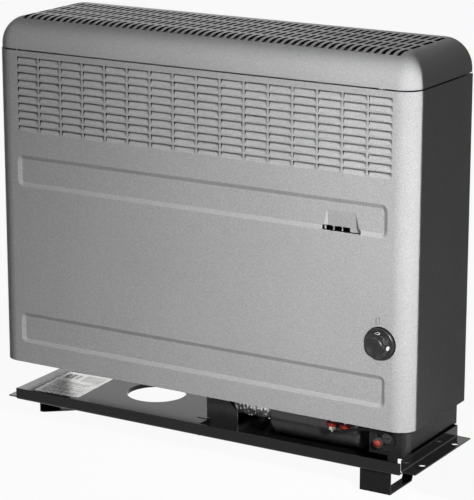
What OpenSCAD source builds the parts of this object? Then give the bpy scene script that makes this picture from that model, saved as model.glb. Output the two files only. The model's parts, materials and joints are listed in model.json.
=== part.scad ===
// Wall-mounted gas room heater with a pressed sheet-metal cover, a moulded air grille on
// top and a folded base tray. Millimetres. X runs along the wall from left to right as seen
// from the front, Y runs towards the wall and Z points up. The origin is on the floor below
// the middle of the heater.

/* [Cover] */
// Width of the cover
cover_w = 534; // [500:1:580]
// Depth of the cover from its front to the wall
cover_d = 136; // [130:1:160]
// Height of the cover up to the seam below the grille
cover_h = 368; // [366:1:400]
// Sheet thickness of the cover
cover_t = 1.2; // [1:0.1:1.5]
// Plan radius of the two front corners
corner_r = 22; // [18:1:26]
// Width of the cover's returned upper and rear edges
return_w = 9; // [7:0.5:11]
// Width of the cover's returned lower edge
lip_w = 6; // [4:0.5:7]

/* [Louvres] */
// Columns of louvres
louvre_cols = 16; // [12:1:16]
// Rows of louvres
louvre_rows = 10; // [6:1:10]
// Sheet left between two louvres of a row
louvre_web = 2.7; // [2.2:0.1:4]
// Height of one louvre
louvre_h = 6.8; // [6:0.1:7.2]
// Distance from the left side of the cover to the first column
louvre_left = 32.2; // [29:0.1:36]
// Distance from the right side of the cover to the last column
louvre_right = 26; // [25:0.1:36]
// Row pitch of the louvres
louvre_pitch_z = 8.8; // [8.6:0.1:9]
// How far the upper edge of a louvre is pressed in
louvre_depth = 3.6; // [3:0.1:4]
// Distance from the seam down to the top row
louvre_drop = 6.8; // [6:0.2:10]

/* [Pressed strips] */
// Height of each recessed strip over its sloping edge
strip_h = 36.5; // [32:0.5:40]
// Depth of the recess
strip_depth = 2.2; // [1.5:0.1:2.4]
// Width of the sloping edge of the recess
strip_slope = 4.8; // [2.5:0.1:6]
// Corner radius of the recess
strip_r = 7.5; // [7:0.5:9]
// Distance from each end of a strip to the side of the cover
strip_inset = 29.5; // [28:0.5:36]
// Height of the lower strip above the bottom of the cover
lower_strip_z = 24; // [22:0.5:30]
// Height of the upper strip above the bottom of the cover
upper_strip_z = 211; // [205:0.5:220]

/* [Viewing window] */
// Distance from the right side of the cover to the centre of the window
window_inset = 85.2; // [74:0.1:150]
// Width of the ramp that leads in to the window
window_w = 34.6; // [28:0.2:36]
// Extra width of the pocket on each side at its foot
window_flare = 6; // [5:0.5:7.5]
// Height of the pocket
window_h = 22; // [20:0.5:24]
// Depth of the pocket behind the front of the cover
window_depth = 4.8; // [4:0.1:7]
// Height of the viewing slots
window_slot_h = 4.6; // [4:0.1:6]
// Width of the bars between the viewing slots
window_bar = 1.4; // [1.2:0.1:2]
// Distance from one bar to the next
window_pitch = 10.2; // [9.6:0.1:11]

/* [Knob] */
// Distance from the right side of the cover to the centre of the knob
knob_inset = 36; // [34:0.5:40]
// Height of the knob above the bottom of the cover
knob_z = 96; // [90:0.5:104]
// Diameter of the knob's skirt
skirt_dia = 35.5; // [32:0.5:38]
// Thickness of the skirt
skirt_t = 5; // [4.5:0.1:6]
// Diameter of the grip
grip_dia = 22.5; // [20:0.5:24]
// Length of the grip in front of the ribbed cone
grip_l = 3.5; // [3.2:0.1:5]
// Diameter of the ribbed cone where it meets the skirt
cone_dia = 30; // [28:0.5:31]
// Ribs round a whole cone
cone_ribs = 40; // [24:4:44]
// How far the grip stands out from the cover
knob_reach = 16.5; // [15:0.5:20]
// How far the knob can be pushed in
knob_travel = 4; // [3:0.5:5]
// Gap round the skirt in its hole
knob_gap = 0.9; // [0.7:0.1:1.2]
// Diameter of the control spindle
spindle_dia = 6; // [5:0.5:7]
// Radial running clearance of the spindle
spindle_fit = 0.05; // [0.03:0.01:0.08]

/* [Grille] */
// Height of the grille moulding
cap_h = 35.5; // [34:0.5:40]
// Radius of the grille's long upper edges
cap_r = 32; // [28:1:33]
// Wall of the grille moulding
cap_t = 2; // [1.6:0.1:2.4]
// Open seam between the cover and the grille
seam = 1.5; // [1.2:0.1:2]
// Columns of slots
slot_cols = 54; // [40:1:54]
// Rows of slots
slot_rows = 4; // [3:1:4]
// Width of one slot
slot_w = 4.6; // [4:0.1:5]
// Length of one slot
slot_l = 21.5; // [18:0.5:22]
// Distance from each side of the cover to the middle of the nearest slots
slot_side = 30.1; // [29:0.1:34]
// Row pitch of the slots
slot_pitch_y = 28.4; // [27:0.1:28.6]
// Distance from the front of the cover to the first row
slot_y = 19; // [17:0.5:20]

/* [Base tray] */
// Distance from the left side of the cover to the tray's left wall
tray_inset = 32; // [30:0.5:40]
// Distance from the wall to the tray's rear edge
tray_gap = 6; // [0:0.5:7]
// How far the tray stands out in front of the cover
tray_front = 16; // [14:0.5:18]
// Height of the tray's front edge
tray_h = 14; // [13:0.5:16]
// Sheet thickness of the tray
tray_t = 1.5; // [1.2:0.1:2]
// Width of the two side flanges
flange_w = 16; // [15:0.5:18]
// How far the right flange stands out beyond the cover
flange_overhang = 11.5; // [8:0.5:14]
// Gap between the tray's top and the cover
cover_gap = 27.5; // [26:0.5:32]
// Width of the closed plateau on the left
plateau_w = 249.5; // [246:0.5:252]
// Diameter of the air hole in the plateau
air_hole_dia = 70; // [60:1:74]
// Depth of the turned-down rim of the air hole
air_rim = 5; // [4:0.5:8]
// Height of the feet
foot_h = 25; // [20:1:40]
// Diameter of the holes in the flanges
flange_hole_dia = 8; // [6:0.5:9]
// Distance between the holes of one flange
flange_hole_pitch = 80; // [60:1:84]
// Distance from the front of the cover to the first flange hole
flange_hole_y = 24; // [22:1:30]
// Width of the relief notches at the ends of the front edge
notch_w = 3; // [2:0.5:4]

/* [Controls] */
// Width of the control bracket's front
bracket_w = 42; // [40:0.5:44]
// Distance from the cover's right side to the bracket's right side
bracket_inset = 8; // [6:0.5:10]
// Distance from the front of the cover back to the bracket
bracket_y = 6; // [5.5:0.1:7]
// How far the bracket hangs below the cover
bracket_drop = 29; // [28:0.5:32]
// Sheet thickness of the brackets
bracket_t = 1.5; // [1.2:0.1:1.8]
// Outer bend radius of the control bracket
bracket_r = 4; // [3:0.5:5]
// Diameter of the battery cap
battery_cap_dia = 11.6; // [11:0.1:11.8]
// Diameter of the pressed dish round the battery cap
dish_dia = 27; // [25:0.5:28]
// Diameter of the ignition button
button_dia = 7.8; // [7:0.1:7.9]
// Outside diameter of the ring round the button
bezel_dia = 9.8; // [9.5:0.1:9.8]
// Travel of the ignition button
button_travel = 2.5; // [1.5:0.5:3]
// Gap round the button and round the battery cap
button_gap = 0.3; // [0.2:0.05:0.4]
// Diameter of the battery
battery_dia = 10.5; // [10:0.1:10.8]
// Length of the battery
battery_l = 44; // [40:1:46]
// Diameter of the ignition lead
lead_dia = 3; // [2.5:0.1:3.2]

/* [Burner and exchanger] */
// Distance from the knob's middle to the far end of the burner drum
drum_reach = 146; // [145:1:150]
// Diameter of the burner drum
drum_dia = 48; // [44:1:50]
// Length of the burner drum
drum_l = 114; // [100:1:116]
// Sheet thickness of the burner drum, hood and exchanger
drum_t = 1.5; // [1:0.1:2]
// Diameter of the burner tube
burner_dia = 20; // [16:1:24]
// Number of burner ports
burner_ports = 18; // [8:1:22]
// Outside diameter of the aluminium duct
duct_dia = 28; // [24:1:28]
// Length of the ribbed part of the duct
duct_l = 48; // [40:1:52]
// Ribs of the duct
duct_ribs = 8; // [6:1:10]
// Wall of the duct
duct_t = 1; // [0.8:0.1:1.4]
// Width of the heat exchanger
exchanger_w = 340; // [300:5:350]
// Height of the heat exchanger
exchanger_h = 270; // [240:5:280]
// Depth of one exchanger shell without its ribs
shell_d = 16; // [12:1:18]
// Radius of the pressed ribs
rib_r = 10; // [8:0.5:11]
// Number of pressed ribs
rib_count = 9; // [7:1:9]
// Width of the seam flange round the exchanger
seam_flange = 9; // [7:1:11]
// Thickness of the exchanger gasket
gasket_t = 2; // [1.5:0.5:3]
// Diameter of the gas pipes
pipe_dia = 8; // [6:0.5:8]

/* [Hidden] */

$fn = 48;
eps = 0.5;

// Levels, measured from the bottom of the cover
plate_z = -cover_gap;
floor_z = plate_z - tray_h;
cap_z = cover_h + seam;
cap_top = cap_z + cap_h;

// Louvres and slots share out the width of the cover
louvre_pitch_x = (cover_w - louvre_left - louvre_right + louvre_web) / louvre_cols;
louvre_w = louvre_pitch_x - louvre_web;
slot_pitch_x = (cover_w - 2 * slot_side) / (slot_cols - 1);

// The window's pocket starts in the recess of the upper strip
window_x = cover_w - window_inset;
window_z = upper_strip_z + 0.5;
window_foot = window_slot_h + 0.4;
window_half = window_w / 2;
window_toe = 2.5;

// Spacers in the seam that can be seen, and pads that carry the grille out of sight
tick_w = 2;
tick_xs = [louvre_left - 2, cover_w - 39.5];
pad_w = 8;
pad_inset = 36;
cap_inset = 0.8;
cap_w = cover_w - 2 * cap_inset;
cap_d = cover_d - cap_inset;

// The tray, measured from the left side and the front of the cover
tray_x0 = tray_inset;
tray_x1 = cover_w + flange_overhang - flange_w;
tray_w = tray_x1 - tray_x0;
tray_back = cover_d - tray_gap;
pan_x0 = tray_x0 + plateau_w;
air_hole = [tray_x0 + 149, 54];
flange_hole_edge = 6.5;
flange_fronts = [-10, -5];
fold_r = 3;
apron_lip = 8;

// Feet
foot_t = 1.5;
foot_w = 37;
strap_w = 12;
gusset_y = 24;
rear_foot_l = 30;

// Controls
knob_x = cover_w - knob_inset;
bracket_x1 = cover_w - bracket_inset;
bracket_x0 = bracket_x1 - bracket_w;
bracket_top = knob_z + 34;
tab_w = 11.5;
tab_x = bracket_x1 - 8 - tab_w;
tab_h = cover_gap + tray_h - tray_t - bracket_drop;
seat_gap = 0.3;
battery_at = [bracket_x0 + 20.8, -10.8];
button_at = [bracket_x0 + 11.3, -16.8];
dish_depth = 2.5;
module_y = bracket_y + bracket_t + dish_depth;
cap_plug = 3;
bezel_plug = 3;
skirt_back = 0.5;
spindle_in = 8.5;
plunger_y = 30;
plunger_dia = 3;
valve_y = 14;
valve_d = 36;

// Foot of the rear panel and its screws
panel_foot_x0 = tray_x0 + 8;
panel_foot_w = plateau_w - 60;
panel_foot_d = 14;
panel_side = return_w + 4.3;
bead_r = 5;
bead_side = 20;
bead_z = 60;
catch_pad = 18;
catch_h = 20;
catch_drop = 70;
catch_t = 1.2;
screw_dia = 4;
screw_y = cover_d - bracket_t - 8;
screw_xs = [for (i = [0:2]) panel_foot_x0 + 16 + i * (panel_foot_w - 32) / 2];

// Burner and duct
drum_edge = 5.5;
drum_x0 = knob_x - drum_reach;
drum_y = 16 + drum_dia / 2;
drum_z = floor_z + tray_t + 0.5 + drum_dia / 2;
duct_y = drum_y - 2;
duct_z = plate_z + 1.5 + duct_dia / 2;
elbow_r = 30;
elbow_t = 1.5;
elbow_x = drum_x0 - duct_l - elbow_r;
feed_x = drum_x0 + drum_l + 7;
inlet_x = knob_x + 2;
inlet_y = 104;
inlet_stub = 18;
inlet_bore = 12;
hood_x0 = drum_x0 + 10;
hood_w = 66;
electrode_x = drum_x0 + 94;
electrode_dia = 6;
electrode_z = drum_z + drum_dia / 2 - 5;
electrode_l = 23;

// Exchanger
exchanger_x = 96;
exchanger_z = 74;
exchanger_y = 84;
flue_dia = 50;
flue_t = 2;
flue_pad = 7;
flue_at = [exchanger_x + flue_dia + 4, exchanger_z + flue_dia + 6];
stay_inset = 60;

// Test nipple and its rail
gas_rail_y = 10.5;
gas_rail_z = 3.7;
nipple_x = bracket_x0 - 48;
nipple_z = -13.5;
nipple_tip = 2;
nipple_dia = 4;
red_cap_z = -9;
red_cap_h = 4;
clip_x = nipple_x + 16;

// Places everything that is measured from the lower left front corner of the cover
module in_frame() {
    translate([-(cover_w + flange_overhang) / 2, (knob_reach - cover_d) / 2,
        foot_h + tray_h + cover_gap])
        children();
}

// Extrudes an outline drawn in Y and Z along X
module along_x(x, length) {
    translate([x, 0, 0])
        rotate([90, 0, 90])
            linear_extrude(length)
                children();
}

// Extrudes an outline drawn in X and Z along Y
module along_y(y, length) {
    translate([0, y + length, 0])
        rotate([90, 0, 0])
            linear_extrude(length)
                children();
}

// A cylinder along Y that starts at the given point
module rod_y(x, y, z, dia, length) {
    translate([x, y, z])
        rotate([-90, 0, 0])
            cylinder(d = dia, h = length);
}

// A cylinder along X that starts at the given point
module rod_x(x, y, z, dia, length) {
    translate([x, y, z])
        rotate([0, 90, 0])
            cylinder(d = dia, h = length);
}

// Outline seen from above with two round corners in front
module rounded_front(w, d, r) {
    translate([r, 0])
        square([w - 2 * r, d]);
    translate([0, r])
        square([w, d - r]);
    for (x = [r, w - r])
        translate([x, r])
            circle(r = r);
}

module cover_plan(inset) {
    translate([inset, inset])
        rounded_front(cover_w - 2 * inset, cover_d, corner_r - inset);
}

// Bar with round ends, drawn about its centre
module pill(w, h) {
    square([w, h - w], center = true);
    for (side = [-1, 1])
        translate([0, side * (h - w) / 2])
            circle(d = w);
}

// Recess with sloping edges and round corners, which starts a little in front of the sheet
module strip_pocket(w, h, depth, slope, r) {
    lean = slope / depth * eps;
    full_d = depth + eps;
    full_s = slope + lean;
    full_r = r + lean;
    full_w = w + 2 * lean;
    full_h = h + 2 * lean;
    translate([-lean, -eps, -lean]) {
        along_x(full_r, full_w - 2 * full_r)
            polygon([[0, 0], [0, full_h], [full_d, full_h - full_s], [full_d, full_s]]);
        translate([0, 0, full_r])
            linear_extrude(full_h - 2 * full_r)
                polygon([[0, 0], [full_w, 0], [full_w - full_s, full_d], [full_s, full_d]]);
        for (x = [full_r, full_w - full_r], z = [full_r, full_h - full_r])
            translate([x, 0, z])
                rotate([-90, 0, 0])
                    cylinder(r1 = full_r, r2 = full_r - full_s, h = full_d);
    }
}

module strip(z, grow) {
    translate([strip_inset - grow, 0, z - grow])
        strip_pocket(cover_w - 2 * strip_inset + 2 * grow, strip_h + 2 * grow,
            strip_depth + grow, strip_slope * (strip_depth + grow) / strip_depth,
            strip_r + grow);
}

// Pocket of the viewing window: a ramp that leads in and down to a row of slots
module window_pocket(grow) {
    front = strip_depth - eps;
    deep = window_depth + grow;
    top_half = window_half + grow;
    foot_half = top_half + window_flare;
    toe_half = foot_half - window_toe;
    foot = window_foot;
    rise = (window_h - foot) / (window_depth - strip_depth) * eps;
    spread = window_toe * (front + 1) / (deep - front);
    translate([window_x, 0, window_z]) {
        polyhedron(
            points = [
                [-top_half, front, window_h + grow + rise], [top_half, front, window_h + grow + rise],
                [-foot_half, front, -grow], [foot_half, front, -grow],
                [-top_half, deep, foot + grow], [top_half, deep, foot + grow],
                [-toe_half, deep, -grow], [toe_half, deep, -grow]
            ],
            faces = [
                [0, 1, 5, 4], [0, 2, 3, 1], [0, 4, 2], [4, 6, 2], [1, 3, 5], [5, 3, 7],
                [4, 5, 7, 6], [2, 6, 7, 3]
            ]
        );
        translate([0, 0, -grow])
            linear_extrude(foot + grow)
                polygon([[-foot_half - spread, -1], [foot_half + spread, -1], [toe_half, deep],
                    [-toe_half, deep]]);
    }
}

// Openings through the foot of the pocket, with upright bars between them. The right end
// of the foot stays closed.
module window_slots_cut() {
    low = window_z - cover_t - 1;
    first = window_x - window_half - window_flare - 1;
    last = window_x + window_pitch - window_bar / 2;
    difference() {
        translate([first, strip_depth, low])
            cube([last - first, window_depth, window_z + window_slot_h - low]);
        for (i = [-2:0])
            translate([window_x + i * window_pitch - window_bar / 2, 0, low - 1])
                cube([window_bar, 2 * window_depth, window_h]);
    }
}

function louvre_top(row) = cover_h - louvre_drop - row * louvre_pitch_z;

// Material that the rows of louvres are pressed out of, behind the sheet
module louvre_backs() {
    along_x(louvre_left - cover_t, cover_w - louvre_left - louvre_right + 2 * cover_t)
        for (row = [0:louvre_rows - 1]) {
            top = louvre_top(row);
            polygon([[0, top - louvre_h], [cover_t, top - louvre_h],
                [louvre_depth + cover_t, top], [0, top]]);
        }
}

// The open mouth in front of each blade, which leaves a slot behind the upper edge
module louvre_mouths() {
    lean = louvre_h / louvre_depth;
    for (col = [0:louvre_cols - 1])
        along_x(louvre_left + col * louvre_pitch_x, louvre_w)
            for (row = [0:louvre_rows - 1]) {
                top = louvre_top(row);
                polygon([[-1, top - louvre_h - lean], [louvre_depth, top],
                    [louvre_depth, top + eps], [cover_t, top + eps], [cover_t, top], [-1, top]]);
            }
}

module cover_sheet() {
    linear_extrude(cover_h)
        difference() {
            cover_plan(0);
            cover_plan(cover_t);
        }
    for (edge = [[0, lip_w], [cover_h - cover_t, return_w]])
        translate([0, 0, edge[0]])
            linear_extrude(cover_t)
                difference() {
                    cover_plan(0);
                    cover_plan(edge[1]);
                }
    for (x = [0, cover_w - return_w - 4])
        translate([x, cover_d - cover_t, 0])
            cube([return_w + 4, cover_t, cover_h]);
}

module front_cover() {
    color("silver")
        in_frame() {
            difference() {
                union() {
                    cover_sheet();
                    strip(lower_strip_z, cover_t);
                    strip(upper_strip_z, cover_t);
                    window_pocket(cover_t);
                    louvre_backs();
                }
                strip(lower_strip_z, 0);
                strip(upper_strip_z, 0);
                window_pocket(0);
                window_slots_cut();
                louvre_mouths();
                rod_y(knob_x, -1, knob_z, skirt_dia + 2 * knob_gap, corner_r / 2);
                translate([bracket_x0 - 1, bracket_y - eps, -1])
                    cube([bracket_w + 1 + eps, bracket_w, cover_t + 2]);
                translate([-1, -2, -1])
                    cube([cover_w + 2, 2, cover_h + 2]);
            }
            index_mark();
        }
}

// Raised mark above the knob
module index_mark() {
    proud = 1;
    along_y(-proud, proud + cover_t / 2)
        translate([knob_x - 2.6, knob_z + 25.2])
            pill(3.2, 8.2);
}

// Grille moulding: long rounded upper edges that run smoothly round the two front corners
module cap_solid(w, d, h, r_top, r_plan) {
    intersection() {
        along_x(0, w)
            union() {
                square([d, h - r_top]);
                translate([r_top, 0])
                    square([d - r_top, h]);
                translate([r_top, h - r_top])
                    circle(r = r_top);
            }
        along_y(0, d)
            union() {
                square([w, h - r_top]);
                translate([r_top, 0])
                    square([w - 2 * r_top, h]);
                for (x = [r_top, w - r_top])
                    translate([x, h - r_top])
                        circle(r = r_top);
            }
        linear_extrude(h)
            union() {
                translate([r_plan, 0])
                    square([w - 2 * r_plan, d]);
                translate([0, r_plan])
                    square([w, d - r_plan]);
            }
    }
    for (side = [0, 1])
        translate([side == 0 ? r_plan : w - r_plan, r_plan, 0])
            rotate([0, 0, 180 + 90 * side])
                rotate_extrude(angle = 90)
                    union() {
                        square([r_plan, h - r_top]);
                        intersection() {
                            translate([r_plan - r_top, h - r_top])
                                circle(r = r_top);
                            translate([0, h - r_top])
                                square([r_plan, r_top]);
                        }
                    }
}

module cap_slots() {
    translate([0, 0, cap_top - 16])
        linear_extrude(17)
            for (col = [0:slot_cols - 1], row = [0:slot_rows - 1])
                translate([cover_w / 2 + (col - (slot_cols - 1) / 2) * slot_pitch_x - slot_w / 2,
                    slot_y + row * slot_pitch_y])
                    square([slot_w, slot_l]);
}

module top_grille() {
    color("silver")
        in_frame() {
            difference() {
                translate([cap_inset, cap_inset, cap_z])
                    cap_solid(cap_w, cap_d, cap_h, cap_r, corner_r - cap_inset);
                translate([cap_inset + cap_t, cap_inset + cap_t, cap_z - 1])
                    cap_solid(cap_w - 2 * cap_t, cap_d - 2 * cap_t, cap_h - cap_t + 1,
                        cap_r - cap_t, corner_r - cap_inset - cap_t);
                cap_slots();
            }
            cap_pads();
        }
}

// Pads behind the wall carry the grille on the cover's upper ledge and keep the seam open
module cap_pads() {
    inner = cap_inset + cap_t;
    pad_d = return_w - inner - 1;
    for (x = tick_xs)
        translate([x, cap_inset, cap_z - seam])
            cube([tick_w, cap_t, seam]);
    for (x = [pad_inset, cover_w - pad_inset - pad_w])
        translate([x, inner - eps, cap_z]) {
            cube([pad_w, pad_d + eps, 6]);
            translate([0, 2 * eps, -seam])
                cube([pad_w, pad_d - eps, seam]);
        }
    for (side = [0, 1])
        translate([side * cover_w, cover_d - rear_foot_l, cap_z])
            mirror([side, 0, 0])
                translate([inner - eps, 0, 0]) {
                    cube([pad_d + eps, pad_w, 6]);
                    translate([2 * eps, 0, -seam])
                        cube([pad_d - eps, pad_w, seam]);
                }
}

// Curved sheet behind the front row of slots that turns the warm air upwards
module air_deflector() {
    outer_r = cap_r - cap_t - 1;
    sheet = 0.8;
    axis_y = cap_inset + cap_r;
    axis_z = cap_top - cap_r;
    first = cover_w / 2 - (slot_cols / 2 - 7) * slot_pitch_x;
    last = cover_w / 2 + (slot_cols / 2 - 3) * slot_pitch_x;
    color("lightgray")
        in_frame()
            along_x(first, last - first) {
                intersection() {
                    translate([axis_y, axis_z])
                        difference() {
                            circle(r = outer_r);
                            circle(r = outer_r - sheet);
                        }
                    translate([axis_y - outer_r - 1, axis_z])
                        square([outer_r - 3, outer_r + 1]);
                }
                translate([axis_y - outer_r, cover_h])
                    square([sheet, axis_z - cover_h]);
                translate([axis_y - outer_r, cover_h])
                    square([4, sheet]);
            }
}

// Folded sheet seen end on: an upright of height h, a bend and a foot of width w
module fold(w, h, r, t) {
    difference() {
        union() {
            translate([0, r])
                square([t, h - r]);
            translate([r, 0])
                square([w - r, t]);
            intersection() {
                translate([r, r])
                    circle(r = r);
                square(r);
            }
        }
        translate([r, r])
            circle(r = r - t);
    }
}

// Front edge of the tray with its turned-in lip and its lower corners rounded
module apron() {
    x0 = tray_x0 - 1;
    length = tray_x1 + notch_w - x0;
    intersection() {
        along_x(x0, length)
            translate([-tray_front, floor_z])
                fold(apron_lip, tray_h, fold_r, tray_t);
        along_y(-tray_front - 1, apron_lip + 2)
            translate([x0, floor_z]) {
                translate([0, fold_r])
                    square([length, tray_h]);
                translate([fold_r, 0])
                    square([length - 2 * fold_r, tray_h]);
                for (x = [fold_r, length - fold_r])
                    translate([x, fold_r])
                        circle(r = fold_r);
            }
    }
}

// Side wall with its flange turned outwards: side is 0 on the left and 1 on the right
module tray_side(side) {
    y0 = flange_fronts[side];
    hole_x = flange_w + tray_t - flange_hole_edge;
    translate([side == 0 ? tray_x0 + tray_t : tray_x1 - tray_t, 0, floor_z])
        mirror([1 - side, 0, 0])
            difference() {
                along_y(y0, tray_back - y0)
                    fold(flange_w + tray_t, tray_h, fold_r, tray_t);
                for (y = [flange_hole_y, flange_hole_y + flange_hole_pitch])
                    translate([hole_x, y, -1])
                        cylinder(d = flange_hole_dia, h = tray_t + 2);
            }
}

module base_tray() {
    color("black")
        in_frame() {
            apron();
            difference() {
                translate([tray_x0, -tray_front, plate_z - tray_t])
                    cube([plateau_w, tray_back + tray_front, tray_t]);
                translate([air_hole.x, air_hole.y, plate_z - tray_t - 1])
                    cylinder(d = air_hole_dia, h = tray_t + 2);
                translate([pan_x0 - 13, 1.5, plate_z - tray_t - 1])
                    cube([14, 3, tray_t + 2]);
                translate([pan_x0 - 6, 11, plate_z - tray_t - 1])
                    cube([7, 2.5, tray_t + 2]);
                for (x = screw_xs)
                    translate([x, screw_y, plate_z - tray_t - 1])
                        cylinder(d = screw_dia + 0.2, h = tray_t + 2);
            }
            translate([air_hole.x, air_hole.y, plate_z - air_rim])
                difference() {
                    cylinder(d = air_hole_dia + 2 * tray_t, h = air_rim - tray_t);
                    translate([0, 0, -1])
                        cylinder(d = air_hole_dia, h = air_rim + 2);
                }
            tray_side(0);
            tray_side(1);
            pan();
            translate([tray_x0, tray_back - tray_t, floor_z])
                cube([tray_w, tray_t, tray_h]);
        }
}

// Sunken right part of the tray with its air slots and the cut-outs round the control box
module pan() {
    front = -tray_front + apron_lip;
    right = tray_x1 - tray_t + fold_r;
    tab_end = tab_x + tab_w + 1;
    behind_tab = bracket_y + 3;
    behind_box = 33;
    translate([pan_x0 - tray_t, -tray_front + tray_t, floor_z])
        cube([tray_t, tray_back + tray_front - 2 * tray_t, tray_h - tray_t]);
    difference() {
        translate([pan_x0 - tray_t, front, floor_z])
            cube([right - pan_x0 + tray_t, tray_back - front, tray_t]);
        for (i = [0:5])
            translate([pan_x0 + 14 + i * 26, 72, floor_z - 1])
                linear_extrude(tray_t + 2)
                    translate([0, 22])
                        pill(8, 44);
        translate([inlet_x, inlet_y, floor_z - 1])
            cylinder(d = pipe_dia + 2, h = tray_t + 2);
        translate([tab_x - 1, behind_tab, floor_z - 1])
            cube([right, behind_box - behind_tab, tray_t + 2]);
        translate([tab_end, front - 1, floor_z - 1])
            cube([right, behind_box - front + 1, tray_t + 2]);
    }
}

// Front right foot: an upright plate with a strap that runs back and up to the tray
module foot_front_right() {
    x1 = tray_x1 - 10;
    y0 = -tray_front + 4;
    run = 51;
    lean = 12;
    color("dimgray")
        in_frame()
            translate([x1, y0, floor_z - foot_h]) {
                translate([-foot_w, 0, 0])
                    cube([foot_w, foot_t, foot_h]);
                translate([-strap_w, 0, 0])
                    cube([strap_w, run, foot_t]);
                along_x(-strap_w, strap_w)
                    polygon([[run - foot_t, 0], [run, 0], [run + lean, foot_h],
                        [run + lean - foot_t, foot_h]]);
                translate([-foot_w, 0, foot_h - foot_t])
                    cube([foot_w - 4, 8, foot_t]);
            }
}

// Front left foot: turned a quarter, with a cut-back gusset at its front
module foot_front_left() {
    x0 = tray_x0 + 5;
    y0 = 22;
    run = 40;
    gusset = 34;
    high = foot_h + tray_h - tray_t;
    color("dimgray")
        in_frame()
            translate([x0, y0, floor_z - foot_h]) {
                cube([foot_t, run, high]);
                linear_extrude(foot_t)
                    polygon([[0, 0], [5, 0], [gusset, gusset_y], [gusset, run], [0, run]]);
                translate([gusset - foot_t, gusset_y, 0])
                    cube([foot_t, run - gusset_y, high]);
                translate([0, 0, high - foot_t])
                    cube([10, run, foot_t]);
            }
}

// Rear feet: a plain strap folded to a channel
module foot_rear(x, high) {
    color("dimgray")
        in_frame()
            translate([x, tray_back - rear_foot_l - 4, floor_z - foot_h]) {
                cube([foot_w, rear_foot_l, foot_t]);
                for (dx = [0, foot_w - foot_t])
                    translate([dx, 0, 0])
                        cube([foot_t, rear_foot_l, high]);
            }
}

module foot_rear_left() {
    foot_rear(tray_x0 + 8, foot_h + tray_h - tray_t);
}

module foot_rear_right() {
    foot_rear(inlet_x - 4 * foot_w, foot_h);
}

// Sheet against the wall that carries the exchanger and closes the back of the cover
module rear_panel() {
    x0 = panel_side;
    w = cover_w - 2 * x0;
    bead_zs = [plate_z + bead_z, cover_h - bead_z];
    color("gray")
        in_frame()
            difference() {
                union() {
                    translate([x0, cover_d - bracket_t, plate_z])
                        cube([w, bracket_t, cover_h - plate_z - 2]);
                    for (z = bead_zs)
                        along_x(x0 + bead_side, w - 2 * bead_side)
                            translate([cover_d - bracket_t, z])
                                circle(r = bead_r);
                    translate([panel_foot_x0, cover_d - bracket_t - panel_foot_d, plate_z])
                        cube([panel_foot_w, panel_foot_d, bracket_t]);
                }
                for (x = screw_xs)
                    translate([x, screw_y, plate_z - 1])
                        cylinder(d = screw_dia + 0.2, h = bracket_t + 2);
                rod_y(flue_at.x, cover_d - 20, flue_at.y, flue_dia + 0.6, 30);
                for (z = bead_zs)
                    along_x(x0 + bead_side - 1, w - 2 * bead_side + 2)
                        translate([cover_d, z])
                            circle(r = bead_r);
                translate([0, cover_d, plate_z - 10])
                    cube([cover_w, 20, cover_h + 60]);
                rod_y(elbow_x, cover_d - 20, duct_z, duct_dia + 0.6, 30);
            }
}

// Sprung catches that hold the sides of the cover
module cover_catch(side) {
    nose_r = (panel_side - cover_t - 0.3) / 2;
    mirror([side, 0, 0])
        translate([0, 0, cover_h - catch_drop]) {
            translate([panel_side, cover_d - 2 * bracket_t, 0])
                cube([catch_pad, bracket_t, catch_h]);
            translate([panel_side, cover_d - rear_foot_l, 0])
                cube([bracket_t, rear_foot_l - bracket_t, catch_h]);
            translate([cover_t + 0.3 + nose_r, cover_d - rear_foot_l, 0])
                catch_nose(nose_r);
        }
}

// Rounded nose of a catch that bears on the inside of the cover
module catch_nose(r) {
    linear_extrude(catch_h)
        difference() {
            union() {
                circle(r = r);
                translate([0, -r])
                    square([r + bracket_t, r]);
                translate([r, -r])
                    square([bracket_t, r + 2]);
            }
            circle(r = r - catch_t);
        }
}

module cover_catch_left() {
    color("gainsboro")
        in_frame()
            cover_catch(0);
}

module cover_catch_right() {
    color("gainsboro")
        in_frame()
            translate([cover_w, 0, 0])
                cover_catch(1);
}

// Folded shield in front of the duct, with its upper corner cut away
module duct_shield() {
    x0 = pan_x0 - 4;
    x1 = x0 + 40;
    y = 8;
    color([0.1, 0.1, 0.11])
        in_frame() {
            along_y(y, bracket_t)
                polygon([[pan_x0 + 0.3, floor_z + tray_t], [x1, floor_z + tray_t], [x1, -14],
                    [x1 - 13, -1], [x1 - 13, 12], [x0, 12], [x0, plate_z], [pan_x0 + 0.3, plate_z]]);
            translate([x0, y, plate_z])
                cube([bracket_t, 22, 12 - plate_z]);
        }
}

// One sheet whose front carries the controls and whose side runs back to the wall
module control_bracket() {
    depth = cover_d - bracket_t - 0.2 - bracket_y;
    color([0.16, 0.16, 0.17])
        in_frame()
            difference() {
                union() {
                    translate([bracket_x0, bracket_y, -bracket_drop])
                        bracket_sheet(depth);
                    rod_y(battery_at.x, bracket_y, battery_at.y, dish_dia,
                        dish_depth + bracket_t);
                }
                rod_y(battery_at.x, bracket_y - 1, battery_at.y, dish_dia - 2 * bracket_t,
                    dish_depth + 1);
                rod_y(battery_at.x, bracket_y - 1, battery_at.y,
                    battery_cap_dia + 2 * button_gap, 8);
                rod_y(button_at.x, bracket_y - 1, button_at.y, bezel_dia + 0.1, 8);
                rod_y(knob_x, bracket_y - 1, knob_z, spindle_dia + 6.1, 8);
                translate([bracket_x0, tray_back - tray_t - seat_gap, -bracket_drop - 1])
                    cube([bracket_w + 1, cover_d, bracket_drop + 1 + plate_z + seat_gap]);
            }
}

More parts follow.
